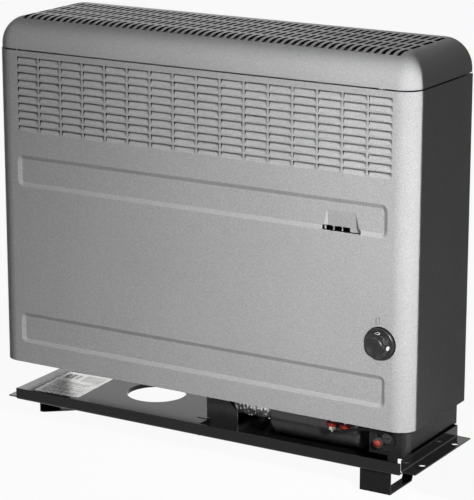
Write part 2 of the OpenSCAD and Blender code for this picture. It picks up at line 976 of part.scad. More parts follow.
module bracket_sheet(depth) {
    linear_extrude(bracket_top + bracket_drop)
        difference() {
            union() {
                square([bracket_w - bracket_r, bracket_t]);
                translate([bracket_w - bracket_t, bracket_r])
                    square([bracket_t, depth - bracket_r]);
                translate([bracket_w - 22, depth - bracket_t])
                    square([22, bracket_t]);
                intersection() {
                    translate([bracket_w - bracket_r, bracket_r])
                        circle(r = bracket_r);
                    translate([bracket_w - bracket_r, 0])
                        square([bracket_r, bracket_r]);
                }
            }
            translate([bracket_w - bracket_r, bracket_r])
                circle(r = bracket_r - bracket_t);
        }
    translate([tab_x - bracket_x0, 0, -tab_h])
        cube([tab_w, bracket_t, tab_h + 1]);
    translate([bracket_w - bracket_t, depth - rear_foot_l, -tab_h])
        cube([bracket_t, tab_w, tab_h + 1]);
}

// Moulded holder of the battery and the ignition button, behind the bracket
module ignition_module() {
    x0 = bracket_x0 + 3;
    x1 = bracket_x1 - bracket_t - 0.3;
    y1 = module_y + battery_l + 8;
    z0 = -bracket_drop + 2;
    color([0.12, 0.12, 0.13])
        in_frame()
            difference() {
                translate([x0, module_y, z0])
                    cube([x1 - x0, y1 - module_y, 22 - z0]);
                rod_y(battery_at.x, module_y - 1, battery_at.y, battery_dia + 0.6,
                    battery_l + cap_plug + 1.6);
                rod_y(battery_at.x, module_y - 1, battery_at.y,
                    battery_cap_dia + 2 * button_gap, 1 + cap_plug + 0.3);
                rod_y(button_at.x, module_y - 1, button_at.y, bezel_dia + 0.6,
                    1 + bezel_plug);
                rod_y(button_at.x, module_y - 1, button_at.y, button_dia + 2 * button_gap, 13);
            }
}

// Ring that guides the ignition button
module button_bezel() {
    proud = 3;
    color([0.25, 0.25, 0.26])
        in_frame()
            difference() {
                union() {
                    rod_y(button_at.x, bracket_y - proud, button_at.y, bezel_dia + 1.2, proud);
                    rod_y(button_at.x, bracket_y, button_at.y, bezel_dia,
                        module_y - bracket_y + bezel_plug);
                }
                rod_y(button_at.x, bracket_y - proud - 1, button_at.y,
                    button_dia + 2 * button_gap, 30);
            }
}

module ignition_button() {
    proud = 4.2;
    dome = 1.2;
    color("red")
        in_frame() {
            rod_y(button_at.x, bracket_y - proud, button_at.y, button_dia,
                proud + module_y - bracket_y + 6);
            intersection() {
                rod_y(button_at.x, bracket_y - proud - dome, button_at.y, button_dia, dome);
                translate([button_at.x, bracket_y - proud - dome + 7, button_at.y])
                    sphere(r = 7);
            }
        }
}

// Cap of the battery holder, with a coin slot
module battery_cap() {
    color([0.06, 0.06, 0.07])
        in_frame()
            difference() {
                rod_y(battery_at.x, bracket_y + 0.3, battery_at.y, battery_cap_dia,
                    module_y - bracket_y - 0.3 + cap_plug);
                translate([battery_at.x - 4, bracket_y, battery_at.y - 0.7])
                    cube([8, 1.4, 1.4]);
            }
}

module battery() {
    color("goldenrod")
        in_frame() {
            rod_y(battery_at.x, module_y + cap_plug + 0.3, battery_at.y, battery_dia,
                battery_l - 1);
            rod_y(battery_at.x, module_y + cap_plug + 0.3 + battery_l - 1, battery_at.y, 4, 1);
        }
}

// Cast gas control behind the bracket, bored for its spindle and its plunger
module control_valve() {
    half = 17;
    front = bracket_y + bracket_t;
    color("darkgray")
        in_frame()
            difference() {
                union() {
                    translate([knob_x - half, valve_y, knob_z - 12])
                        cube([2 * half, valve_d, 24]);
                    rod_y(knob_x, front, knob_z, 26, valve_y - front);
                    rod_y(knob_x, valve_y, knob_z, 2 * half, valve_d - 6);
                    rod_y(knob_x - 11, valve_y + 6, knob_z - 11, 14, valve_d - 12);
                    rod_y(inlet_x, valve_y + valve_d - 6, knob_z, 16, 10);
                }
                rod_y(knob_x, front - 1, knob_z, spindle_dia + 6.1, valve_y - front + 1);
                rod_y(knob_x, valve_y - 1, knob_z, spindle_dia + 0.6,
                    plunger_y - valve_y + knob_travel + 1.8);
                rod_y(knob_x, valve_y, knob_z, plunger_dia + 0.1, valve_d - 2);
            }
}

module spindle_bush() {
    color("darkgoldenrod")
        in_frame()
            difference() {
                rod_y(knob_x, bracket_y - 0.3, knob_z, spindle_dia + 6,
                    valve_y - bracket_y + 0.3);
                rod_y(knob_x, bracket_y - 1, knob_z, spindle_dia + 2 * spindle_fit, 20);
            }
}

// Pin that the spindle pushes to open the safety valve
module valve_plunger() {
    color("silver")
        in_frame()
            rod_y(knob_x, plunger_y + 0.3, knob_z, plunger_dia, valve_d - 24);
}

module control_spindle() {
    color("silver")
        in_frame()
            rod_y(knob_x, -spindle_in, knob_z, spindle_dia, plunger_y + spindle_in);
}

// Skirt of the knob with a cone whose ribs leave room for two printed marks
module knob() {
    front = skirt_back - skirt_t;
    chamfer = 1;
    cone_y = grip_l - knob_reach;
    cone_l = front - cone_y;
    tip_dia = grip_dia + 1;
    slope = atan((cone_dia - tip_dia) / 2 / cone_l);
    groove = 0.7;
    color([0.05, 0.05, 0.05])
        in_frame()
            translate([knob_x, 0, knob_z])
                rotate([-90, 0, 0])
                    difference() {
                        union() {
                            translate([0, 0, front + chamfer])
                                cylinder(d = skirt_dia, h = skirt_t - chamfer);
                            translate([0, 0, front])
                                cylinder(d1 = skirt_dia - 2 * chamfer, d2 = skirt_dia, h = chamfer);
                            translate([0, 0, cone_y])
                                cylinder(d1 = tip_dia, d2 = cone_dia, h = cone_l);
                        }
                        translate([0, 0, cone_y - 1])
                            cylinder(d = grip_dia - 2, h = 3);
                        translate([0, 0, -spindle_in - 0.2])
                            cylinder(d = spindle_dia + 0.1, h = knob_reach);
                        for (i = [0:cone_ribs - 1], turn = i * 360 / cone_ribs)
                            if (abs(turn - 95) > 16 && abs(turn - 180) < 160)
                                rotate([0, 0, turn - 90])
                                    translate([tip_dia / 2, 0, cone_y])
                                        rotate([0, slope, 0])
                                            translate([-groove, -groove / 2, 1])
                                                cube([2 * groove, groove, cone_l - 2]);
                    }
}

// Grip of the knob with a dished front
module knob_grip() {
    bevel = 1;
    dish = 2.2;
    dish_r = 16;
    plug = 2;
    color([0.07, 0.07, 0.07])
        in_frame()
            difference() {
                translate([knob_x, -knob_reach, knob_z])
                    rotate([-90, 0, 0]) {
                        cylinder(d1 = grip_dia - 2 * bevel, d2 = grip_dia, h = bevel);
                        translate([0, 0, bevel])
                            cylinder(d = grip_dia, h = grip_l - bevel);
                        translate([0, 0, grip_l])
                            cylinder(d = grip_dia - 2.2, h = plug);
                    }
                translate([knob_x, -knob_reach - dish_r + dish, knob_z])
                    sphere(r = dish_r);
            }
}

module outlet_elbow() {
    color("darkgoldenrod")
        in_frame() {
            rod_x(feed_x, drum_y, knob_z, 10, knob_x - 17 - feed_x);
            translate([feed_x, drum_y, knob_z])
                sphere(d = 12);
            translate([feed_x, drum_y, knob_z - 12])
                cylinder(d = 10, h = 12);
        }
}

module burner_feed_pipe() {
    color("silver")
        in_frame()
            translate([feed_x, drum_y, drum_z + 12])
                cylinder(d = pipe_dia - 2, h = knob_z - 24 - drum_z);
}

module jet_holder() {
    x = drum_x0 + drum_l;
    color("darkgoldenrod")
        in_frame()
            difference() {
                union() {
                    rod_x(x, drum_y, drum_z, 14, 11);
                    translate([x + 11, drum_y, drum_z])
                        rotate([0, 90, 0])
                            cylinder(d = 12, h = 4, $fn = 6);
                    translate([feed_x, drum_y, drum_z])
                        cylinder(d = 10, h = 12);
                }
                rod_x(x - 1, drum_y, drum_z, 3, 8);
            }
}

// Supply pipe that rises through the tray and bends forward to the gas control
module gas_inlet_pipe() {
    bend = 14;
    back = valve_y + valve_d + 4;
    low = floor_z - inlet_stub;
    color("gainsboro")
        in_frame() {
            difference() {
                translate([inlet_x, inlet_y, low])
                    cylinder(d = pipe_dia, h = knob_z - bend - low);
                translate([inlet_x, inlet_y, low - 1])
                    cylinder(d = pipe_dia - 2, h = inlet_bore + 1);
            }
            translate([inlet_x, inlet_y - bend, knob_z - bend])
                rotate([90, 0, 90])
                    rotate_extrude(angle = 90)
                        translate([bend, 0])
                            circle(d = pipe_dia);
            rod_y(inlet_x, back, knob_z, pipe_dia, inlet_y - bend - back);
        }
}

module inlet_nut() {
    color("darkgoldenrod")
        in_frame()
            translate([inlet_x, inlet_y, floor_z - 14])
                difference() {
                    union() {
                        cylinder(d = 16, h = 8, $fn = 6);
                        cylinder(d = 12, h = 13.7);
                    }
                    translate([0, 0, -1])
                        cylinder(d = pipe_dia + 0.1, h = 20);
                }
}

// Solid along X whose round ends have rounded edges
module rounded_drum(x, d, l, edge) {
    translate([x, drum_y, drum_z])
        rotate([0, 90, 0])
            rotate_extrude() {
                translate([0, edge])
                    square([d / 2, l - 2 * edge]);
                square([d / 2 - edge, l]);
                for (end = [edge, l - edge])
                    translate([d / 2 - edge, end])
                        circle(r = edge);
            }
}

// Drum that closes in the burner
module burner_drum() {
    color([0.2, 0.2, 0.21])
        in_frame()
            difference() {
                rounded_drum(drum_x0, drum_dia, drum_l, drum_edge);
                rounded_drum(drum_x0 + drum_t, drum_dia - 2 * drum_t, drum_l - 2 * drum_t,
                    drum_edge - drum_t);
                rod_x(drum_x0 - 1, duct_y, duct_z, duct_dia - 2 * duct_t, drum_t + 2);
                rod_x(drum_x0 + drum_l - drum_t - 1, drum_y, drum_z, 6, drum_t + 2);
                translate([hood_x0 + 2, drum_y - 8, drum_z])
                    cube([hood_w - 4, 18, drum_dia]);
                translate([electrode_x, drum_y, drum_z])
                    cylinder(d = electrode_dia + 0.1, h = drum_dia);
            }
}

module burner_tube() {
    x0 = drum_x0 + 8;
    length = drum_l - 8 - drum_t;
    pitch = (length - 16) / burner_ports;
    color("dimgray")
        in_frame()
            difference() {
                rod_x(x0, drum_y, drum_z, burner_dia, length);
                rod_x(x0 + 1, drum_y, drum_z, burner_dia - 2, length);
                for (i = [0:burner_ports - 1])
                    translate([x0 + 8 + i * pitch, drum_y - 5, drum_z + 2])
                        cube([1.2, 10, burner_dia]);
            }
}

// Sheet duct that leads the hot gas from the drum up into the exchanger
module burner_hood() {
    y0 = drum_y - 10;
    top_y0 = exchanger_y - 18;
    top_y1 = exchanger_y + 16;
    z0 = drum_z + drum_dia / 2 - 6;
    color([0.3, 0.3, 0.31])
        in_frame()
            difference() {
                along_x(hood_x0, hood_w)
                    polygon([[y0, z0], [y0 + 22, z0], [top_y1, exchanger_z], [top_y0, exchanger_z]]);
                along_x(hood_x0 + drum_t, hood_w - 2 * drum_t)
                    polygon([[y0 + drum_t + 1, z0 - 1], [y0 + 20 - drum_t, z0 - 1],
                        [top_y1 - 2 * drum_t, exchanger_z + 1],
                        [top_y0 + drum_t, exchanger_z + 1]]);
                rod_x(drum_x0 - 1, drum_y, drum_z, drum_dia + 0.6, drum_l + 2);
            }
}

// One ribbed half of the exchanger: side is -1 for the front half and 1 for the rear half
module exchanger_shell(side, inset) {
    face = exchanger_y + side * (gasket_t / 2 + shell_d - inset);
    inner = exchanger_y + side * (gasket_t / 2 - (inset > 0 ? 1 : 0));
    pitch = (exchanger_w - 60) / (rib_count - 1);
    translate([exchanger_x + inset, min(face, inner), exchanger_z + inset])
        cube([exchanger_w - 2 * inset, abs(face - inner), exchanger_h - 2 * inset]);
    for (i = [0:rib_count - 1])
        translate([exchanger_x + 30 + i * pitch, face, 0]) {
            for (z = [exchanger_z + 34, exchanger_z + exchanger_h - 34])
                translate([0, 0, z])
                    sphere(r = rib_r - inset);
            translate([0, 0, exchanger_z + 34])
                cylinder(r = rib_r - inset, h = exchanger_h - 68);
        }
}

module exchanger_flange(side, thickness) {
    y = side < 0 ? exchanger_y - gasket_t / 2 - thickness : exchanger_y + gasket_t / 2;
    along_y(y, thickness)
        translate([exchanger_x - seam_flange, exchanger_z])
            square([exchanger_w + 2 * seam_flange, exchanger_h + seam_flange]);
}

module gas_way() {
    translate([hood_x0 + 4, exchanger_y - 12, exchanger_z - 1])
        cube([hood_w - 8, 24, drum_t + 2]);
}

module exchanger_front_shell() {
    color("slategray")
        in_frame()
            difference() {
                union() {
                    exchanger_shell(-1, 0);
                    exchanger_flange(-1, drum_t);
                }
                exchanger_shell(-1, drum_t);
                gas_way();
            }
}

module exchanger_rear_shell() {
    pad_y = exchanger_y + gasket_t / 2 + shell_d;
    color("slategray")
        in_frame()
            difference() {
                union() {
                    exchanger_shell(1, 0);
                    exchanger_flange(1, drum_t);
                    rod_y(flue_at.x, pad_y - 1, flue_at.y, flue_dia + 2 * flue_pad, rib_r + 2);
                }
                exchanger_shell(1, drum_t);
                rod_y(flue_at.x, pad_y - 4, flue_at.y, flue_dia - 2 * flue_t, 30);
                gas_way();
            }
}

module exchanger_gasket() {
    color("whitesmoke")
        in_frame()
            along_y(exchanger_y - gasket_t / 2, gasket_t)
                translate([exchanger_x, exchanger_z])
                    difference() {
                        translate([-seam_flange + 1, 0])
                            square([exchanger_w + 2 * seam_flange - 2,
                                exchanger_h + seam_flange - 1]);
                        translate([drum_t, drum_t])
                            square([exchanger_w - 2 * drum_t, exchanger_h - 2 * drum_t]);
                        translate([hood_x0 + 4 - exchanger_x, -1])
                            square([hood_w - 8, drum_t + 2]);
                    }
}

// Ribbed aluminium duct between the drum and the elbow
module flex_duct() {
    pitch = duct_l / duct_ribs;
    valley = 1.6;
    color("lightgray")
        in_frame()
            translate([drum_x0 - duct_l, duct_y, duct_z])
                rotate([0, 90, 0])
                    difference() {
                        union() {
                            cylinder(d = duct_dia - 2 * valley, h = duct_l);
                            for (i = [0:duct_ribs - 1])
                                translate([0, 0, (i + 0.2) * pitch]) {
                                    cylinder(d1 = duct_dia - 2 * valley, d2 = duct_dia,
                                        h = 0.3 * pitch);
                                    translate([0, 0, 0.3 * pitch])
                                        cylinder(d1 = duct_dia, d2 = duct_dia - 2 * valley,
                                            h = 0.3 * pitch);
                                }
                        }
                        translate([0, 0, -1])
                            cylinder(d = duct_dia - 2 * valley - 2 * duct_t, h = duct_l + 2);
                    }
}

// Smooth elbow that runs back to the wall
module flue_elbow() {
    y1 = duct_y + elbow_r;
    color("gray")
        in_frame() {
            translate([elbow_x + elbow_r, y1, duct_z])
                rotate([0, 0, 180])
                    rotate_extrude(angle = 90)
                        translate([elbow_r, 0])
                            ring(duct_dia, elbow_t);
            translate([elbow_x, y1, duct_z])
                rotate([-90, 0, 0])
                    linear_extrude(cover_d - y1)
                        ring(duct_dia, elbow_t);
        }
}

// Round tube seen end on
module ring(dia, wall) {
    difference() {
        circle(d = dia);
        circle(d = dia - 2 * wall);
    }
}

module flue_collar() {
    y0 = exchanger_y + gasket_t / 2 + shell_d + rib_r + 1;
    color("gray")
        in_frame()
            difference() {
                rod_y(flue_at.x, y0, flue_at.y, flue_dia, cover_d - y0);
                rod_y(flue_at.x, y0 - 1, flue_at.y, flue_dia - 2 * flue_t, 60);
            }
}

module ignition_electrode() {
    color("ivory")
        in_frame()
            translate([electrode_x, drum_y, 0]) {
                translate([0, 0, electrode_z])
                    cylinder(d = electrode_dia, h = electrode_l);
                translate([0, 0, drum_z + burner_dia / 2 + 2.5])
                    cylinder(d = 2, h = electrode_z - drum_z - burner_dia / 2 - 2);
            }
}

// Route of the ignition lead: out of its module, in front of the drum, then up between the
// two red caps and over the drum to the top of the electrode
lead_start = bracket_x0 + 2.7;
lead_rise = (nipple_x + clip_x) / 2;
lead_end = electrode_z + electrode_l + 0.3;
lead_route = [
    [lead_start, 14, -7], [lead_start - 5, 14, -7.2], [lead_start - 17, 13.5, -9],
    [lead_rise + 14, 13, -11.8], [lead_rise + 6, 12.6, -13.4], [lead_rise + 1.2, 13.2, -11.5],
    [lead_rise + 0.2, 15, -7.2], [lead_rise + 0.4, 17, -2], [lead_rise + 1, 20, 4],
    [electrode_x, 26, 14], [electrode_x, drum_y - 7, lead_end - 1],
    [electrode_x, drum_y - 2.5, lead_end + 5.5], [electrode_x, drum_y, lead_end + 4],
    [electrode_x, drum_y, lead_end]
];

function at_end(pts, i) = pts[max(0, min(len(pts) - 1, i))];

// Point on a smooth curve through the route
function smooth(pts, i, t) =
    let (a = at_end(pts, i - 1), b = at_end(pts, i), c = at_end(pts, i + 1), d = at_end(pts, i + 2))
    0.5 * (2 * b + (c - a) * t + (2 * a - 5 * b + 4 * c - d) * t * t
        + (3 * b - a - 3 * c + d) * t * t * t);

function unit(v) = v / norm(v);

// Tube swept along a list of points
module tube(pts, dia, sides) {
    n = len(pts);
    rings = [
        for (i = [0:n - 1])
            let (
                dir = unit(pts[min(i + 1, n - 1)] - pts[max(i - 1, 0)]),
                across = unit(cross(dir, [0, 0, 1])),
                up = cross(across, dir)
            )
            for (k = [0:sides - 1])
                pts[i] + dia / 2 * (across * cos(360 * k / sides) + up * sin(360 * k / sides))
    ];
    walls = [
        for (i = [0:n - 2], k = [0:sides - 1])
            let (a = i * sides + k, b = i * sides + (k + 1) % sides)
            each [[a, b, b + sides], [a, b + sides, a + sides]]
    ];
    polyhedron(
        points = rings,
        faces = concat(
            walls,
            [for (k = [1:sides - 2]) [0, k + 1, k]],
            [for (k = [1:sides - 2]) [for (v = [0, k, k + 1]) (n - 1) * sides + v]]
        )
    );
}

module ignition_lead() {
    steps = 4;
    pts = concat(
        [for (i = [0:len(lead_route) - 2], s = [0:steps - 1]) smooth(lead_route, i, s / steps)],
        [lead_route[len(lead_route) - 1]]
    );
    color([0.03, 0.03, 0.03])
        in_frame()
            tube(pts, lead_dia, 10);
}

// Pipe under the cover's lower edge that carries the test nipple
module gas_rail() {
    color("silver")
        in_frame() {
            rod_x(nipple_x - 12, gas_rail_y, gas_rail_z, pipe_dia, bracket_x0 - nipple_x + 12);
            translate([clip_x, gas_rail_y, red_cap_z])
                cylinder(d = nipple_dia, h = gas_rail_z - red_cap_z);
        }
}

module test_nipple() {
    color("darkgoldenrod")
        in_frame()
            translate([nipple_x, gas_rail_y, nipple_z]) {
                cylinder(d = 2 * nipple_dia, h = red_cap_z - nipple_z, $fn = 6);
                translate([0, 0, -nipple_tip])
                    cylinder(d = nipple_dia, h = gas_rail_z - pipe_dia / 2 - nipple_z + nipple_tip);
            }
}

// Red sealing caps on the nipple and on the branch next to it
module red_caps() {
    color("red")
        in_frame()
            for (x = [nipple_x, clip_x])
                translate([x, gas_rail_y, red_cap_z])
                    difference() {
                        cylinder(d = x == nipple_x ? 12 : 11, h = red_cap_h);
                        translate([0, 0, -1])
                            cylinder(d = nipple_dia + 0.1, h = red_cap_h + 2);
                    }
}

// Spacers between the exchanger's seam and the wall sheet
module exchanger_stays() {
    y0 = exchanger_y + gasket_t / 2 + drum_t;
    color("gray")
        in_frame()
            for (x = [exchanger_x - seam_flange / 2, exchanger_x + exchanger_w + seam_flange / 2],
                z = [exchanger_z + stay_inset, exchanger_z + exchanger_h - stay_inset])
                rod_y(x, y0, z, 8, cover_d - bracket_t - y0);
}

// Pan-head screws that fix the wall sheet to the tray
module tray_screws() {
    color("silver")
        in_frame()
            for (x = screw_xs)
                translate([x, screw_y, plate_z - 8]) {
                    cylinder(d = screw_dia, h = 8 + bracket_t);
                    translate([0, 0, 8 + bracket_t])
                        cylinder(d1 = 8, d2 = 6, h = 2.4);
                }
}

front_cover();
top_grille();
air_deflector();
base_tray();
foot_front_left();
foot_front_right();
foot_rear_left();
foot_rear_right();
rear_panel();
cover_catch_left();
cover_catch_right();
duct_shield();
control_bracket();
ignition_module();
button_bezel();
ignition_button();
battery_cap();
battery();
control_valve();
spindle_bush();
valve_plunger();
control_spindle();
knob();
knob_grip();
outlet_elbow();
burner_feed_pipe();
jet_holder();
gas_inlet_pipe();
inlet_nut();
burner_drum();
burner_tube();
burner_hood();
exchanger_front_shell();
exchanger_rear_shell();
exchanger_gasket();
flex_duct();
flue_elbow();
flue_collar();
ignition_electrode();
ignition_lead();
gas_rail();
test_nipple();
red_caps();
exchanger_stays();
tray_screws();
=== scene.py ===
import json
import math

import bmesh
import bpy
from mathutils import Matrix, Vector


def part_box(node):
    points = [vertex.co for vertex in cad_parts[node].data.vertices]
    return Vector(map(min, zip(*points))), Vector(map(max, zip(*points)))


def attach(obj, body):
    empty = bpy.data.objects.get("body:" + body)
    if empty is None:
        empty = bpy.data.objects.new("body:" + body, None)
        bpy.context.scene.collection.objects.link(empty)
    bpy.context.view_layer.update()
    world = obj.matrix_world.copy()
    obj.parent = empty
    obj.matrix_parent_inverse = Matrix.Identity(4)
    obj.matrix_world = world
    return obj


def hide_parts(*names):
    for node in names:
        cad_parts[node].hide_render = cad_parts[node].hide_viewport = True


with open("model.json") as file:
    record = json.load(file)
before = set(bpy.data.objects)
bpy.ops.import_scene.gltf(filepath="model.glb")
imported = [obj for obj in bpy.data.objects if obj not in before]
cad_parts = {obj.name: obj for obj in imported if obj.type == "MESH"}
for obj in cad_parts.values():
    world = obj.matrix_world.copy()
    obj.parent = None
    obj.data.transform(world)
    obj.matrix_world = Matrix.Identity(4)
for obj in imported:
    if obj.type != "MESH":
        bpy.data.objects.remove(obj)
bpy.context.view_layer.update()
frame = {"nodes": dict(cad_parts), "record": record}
print("frame loaded:", len(frame["nodes"]), "nodes")


# small helpers for the shader trees

def addNode(tree, kind, **settings):
    made = tree.nodes.new(kind)
    for key, value in settings.items():
        setattr(made, key, value)
    return made


def newMaterial(name):
    material = bpy.data.materials.new(name)
    material.use_nodes = True
    tree = material.node_tree
    tree.nodes.clear()
    shader = addNode(tree, "ShaderNodeBsdfPrincipled")
    output = addNode(tree, "ShaderNodeOutputMaterial")
    coords = addNode(tree, "ShaderNodeTexCoord")
    tree.links.new(shader.outputs["BSDF"], output.inputs["Surface"])
    return material, tree, shader, coords.outputs["Object"]


def noiseOf(tree, place, scale, detail=3.0, stretch=(1, 1, 1)):
    # noise in metres, drawn out along the axes whose stretch is small
    mapping = addNode(tree, "ShaderNodeMapping")
    mapping.inputs["Scale"].default_value = stretch
    noise = addNode(tree, "ShaderNodeTexNoise")
    noise.inputs["Scale"].default_value = scale
    noise.inputs["Detail"].default_value = detail
    tree.links.new(place, mapping.inputs["Vector"])
    tree.links.new(mapping.outputs["Vector"], noise.inputs["Vector"])
    return noise.outputs["Fac"]


def spread(tree, value, low, high, start=0.3, end=0.7):
    ranged = addNode(tree, "ShaderNodeMapRange")
    for key, number in (("From Min", start), ("From Max", end), ("To Min", low), ("To Max", high)):
        ranged.inputs[key].default_value = number
    tree.links.new(value, ranged.inputs["Value"])
    return ranged.outputs["Result"]


def mixColours(tree, factor, first, second, blend="MIX"):
    mix = addNode(tree, "ShaderNodeMix", data_type="RGBA", blend_type=blend)
    for socket, value in ((mix.inputs[0], factor), (mix.inputs[6], first), (mix.inputs[7], second)):
        if isinstance(value, bpy.types.NodeSocket):
            tree.links.new(value, socket)
        elif isinstance(value, (int, float)):
            socket.default_value = value
        else:
            socket.default_value = (*value, 1)
    return mix.outputs[2]


def addBump(tree, shader, height, distance, strength):
    bump = addNode(tree, "ShaderNodeBump")
    bump.inputs["Distance"].default_value = distance
    bump.inputs["Strength"].default_value = strength
    tree.links.new(height, bump.inputs["Height"])
    tree.links.new(bump.outputs["Normal"], shader.inputs["Normal"])


def edgeWear(tree, radius, start, end):
    # 1 where a sharp edge would have rubbed, 0 on the flats
    bevel = addNode(tree, "ShaderNodeBevel", samples=4)
    bevel.inputs["Radius"].default_value = radius
    geometry = addNode(tree, "ShaderNodeNewGeometry")
    dot = addNode(tree, "ShaderNodeVectorMath", operation="DOT_PRODUCT")
    tree.links.new(bevel.outputs["Normal"], dot.inputs[0])
    tree.links.new(geometry.outputs["Normal"], dot.inputs[1])
    return spread(tree, dot.outputs["Value"], 1.0, 0.0, start, end)


def bareInsideAndShadeMask(tree, place, core, start, end):
    # 1 on faces that look in at the core box or sideways into a cut, 0 on the outer skin; the mask paints the
    # bare inner side dark and is painted shade on slot walls, cut walls and the seam
    geometry = addNode(tree, "ShaderNodeNewGeometry")
    parts = addNode(tree, "ShaderNodeSeparateXYZ")
    tree.links.new(place, parts.inputs[0])
    away = addNode(tree, "ShaderNodeCombineXYZ")
    for axis, (low, high) in zip("XYZ", core):
        clamped = addNode(tree, "ShaderNodeClamp")
        clamped.inputs["Min"].default_value = low
        clamped.inputs["Max"].default_value = high
        tree.links.new(parts.outputs[axis], clamped.inputs["Value"])
        beyond = addNode(tree, "ShaderNodeMath", operation="SUBTRACT")
        tree.links.new(parts.outputs[axis], beyond.inputs[0])
        tree.links.new(clamped.outputs[0], beyond.inputs[1])
        tree.links.new(beyond.outputs[0], away.inputs[axis])
    dot = addNode(tree, "ShaderNodeVectorMath", operation="DOT_PRODUCT")
    tree.links.new(geometry.outputs["True Normal"], dot.inputs[0])
    tree.links.new(away.outputs[0], dot.inputs[1])
    return spread(tree, dot.outputs["Value"], 1.0, 0.0, start, end)


# the finishes of this heater

rubbing = {"radius": 0.0006, "start": 0.86, "end": 0.99, "scuffScale": 240, "scuffs": (0.45, 0.7)}
skin = {"start": 0.001, "end": 0.003, "roughFiner": 6}
brushing = {"blotchScale": 45, "lineShade": 0.72, "bumpStrength": 0.4}


def sheetFinish(name, colour, worn, settings):
    # paint, moulding or plain metal: grain in the colour, a soft drift and rubbed edges
    material, tree, shader, place = newMaterial(name)
    grain = spread(tree, noiseOf(tree, place, settings["grain"], 2.0), 0.0, 1.0)
    drift = spread(tree, noiseOf(tree, place, settings["drift"], 4.0), 0.0, 1.0)
    dark = tuple(c * (1 - settings["vary"]) for c in colour)
    light = tuple(min(1.0, c * (1 + settings["vary"])) for c in colour)
    base = mixColours(tree, grain, dark, light)
    shade = tuple(c * (1 - settings["stain"]) for c in (1, 1, 1))
    base = mixColours(tree, drift, base, mixColours(tree, 1.0, base, shade, "MULTIPLY"))
    if settings.get("wear"):
        scuffs = spread(tree, noiseOf(tree, place, rubbing["scuffScale"], 5.0), 0.0, settings["wear"],
                        *rubbing["scuffs"])
        rubbed = addNode(tree, "ShaderNodeMath", operation="MULTIPLY")
        edges = edgeWear(tree, rubbing["radius"], rubbing["start"], rubbing["end"])
        tree.links.new(edges, rubbed.inputs[0])
        tree.links.new(scuffs, rubbed.inputs[1])
        base = mixColours(tree, rubbed.outputs[0], base, worn)
    # dark bare inner side, and painted shade on slot walls, cut walls and the seam
    if settings.get("inside"):
        inner = bareInsideAndShadeMask(tree, place, settings["inside"], skin["start"], skin["end"])
        base = mixColours(tree, inner, base, settings["bareInsideAndShadeColour"])
    low, high = settings["rough"]
    rough = spread(tree, noiseOf(tree, place, settings["drift"] * skin["roughFiner"], 5.0), low, high)
    tree.links.new(base, shader.inputs["Base Color"])
    tree.links.new(rough, shader.inputs["Roughness"])
    shader.inputs["Metallic"].default_value = settings.get("metallic", 0.0)
    shader.inputs["Specular IOR Level"].default_value = settings.get("gloss", 0.5)
    addBump(tree, shader, noiseOf(tree, place, settings["bumpScale"], 3.0), settings["bump"],
            settings["bumpStrength"])
    return material


def brushedFinish(name, colour, settings):
    # drawn or rolled metal: fine lines along one axis
    material, tree, shader, place = newMaterial(name)
    lines = noiseOf(tree, place, settings["lines"], 4.0, settings["along"])
    blotch = noiseOf(tree, place, brushing["blotchScale"], 5.0)
    dark = tuple(c * brushing["lineShade"] for c in colour)
    base = mixColours(tree, spread(tree, lines, 0.0, 1.0), dark, colour)
    base = mixColours(tree, spread(tree, blotch, 0.0, settings["stain"]), base, settings["stainColour"])
    tree.links.new(base, shader.inputs["Base Color"])
    low, high = settings["rough"]
    tree.links.new(spread(tree, blotch, low, high), shader.inputs["Roughness"])
    shader.inputs["Metallic"].default_value = settings.get("metallic", 1.0)
    addBump(tree, shader, lines, settings["bump"], brushing["bumpStrength"])
    return material


# "inside" is the box that the bare, dark inner faces look at; the dark colour is also painted shade on the
# walls of slots and cuts and at the seam between cap and cover
silver = {"grain": 1100, "drift": 9, "vary": 0.22, "stain": 0.05, "wear": 0.5, "rough": (0.36, 0.44),
          "gloss": 0.035, "bumpScale": 900, "bump": 0.00012, "bumpStrength": 0.35,
          "inside": ((-0.25, 0.24), (0.0, 0.0), (-1.0, 1.0)), "bareInsideAndShadeColour": (0.03, 0.03, 0.03)}
mould = {"grain": 1100, "drift": 12, "vary": 0.18, "stain": 0.05, "wear": 0.25, "rough": (0.32, 0.4),
         "gloss": 0.05, "bumpScale": 700, "bump": 0.0001, "bumpStrength": 0.3,
         "inside": ((-0.25, 0.24), (-0.042, 0.06), (0.43, 0.43)), "bareInsideAndShadeColour": (0.015, 0.015, 0.015)}
trayBlack = {"grain": 1200, "drift": 20, "vary": 0.25, "stain": 0.3, "wear": 0.35, "rough": (0.1, 0.17),
             "gloss": 0.24, "bumpScale": 300, "bump": 0.0002, "bumpStrength": 0.25}
blackPaint = {"grain": 1200, "drift": 20, "vary": 0.25, "stain": 0.3, "wear": 0.5, "rough": (0.2, 0.3),
              "gloss": 0.1, "bumpScale": 420, "bump": 0.0002, "bumpStrength": 0.3}
# edges rubbed at full strength: the pale edges are a painted highlight along the sheet's lit edges
paintedEdgeHighlight = {"grain": 1200, "drift": 20, "vary": 0.25, "stain": 0.3, "wear": 1.6, "rough": (0.2, 0.3),
           "gloss": 0.2, "bumpScale": 420, "bump": 0.0002, "bumpStrength": 0.3}
drumEnamel = {"grain": 900, "drift": 14, "vary": 0.25, "stain": 0.4, "wear": 0.3, "rough": (0.16, 0.26),
              "gloss": 0.5, "bumpScale": 90, "bump": 0.0004, "bumpStrength": 0.3}
knobBlack = {"grain": 1500, "drift": 30, "vary": 0.2, "stain": 0.2, "wear": 0.9, "rough": (0.34, 0.44),
             "gloss": 0.4, "bumpScale": 1400, "bump": 0.0001, "bumpStrength": 0.4}
dullPlastic = {"grain": 1500, "drift": 30, "vary": 0.2, "stain": 0.2, "wear": 0.3, "rough": (0.38, 0.5),
               "gloss": 0.5, "bumpScale": 1400, "bump": 0.0001, "bumpStrength": 0.5}
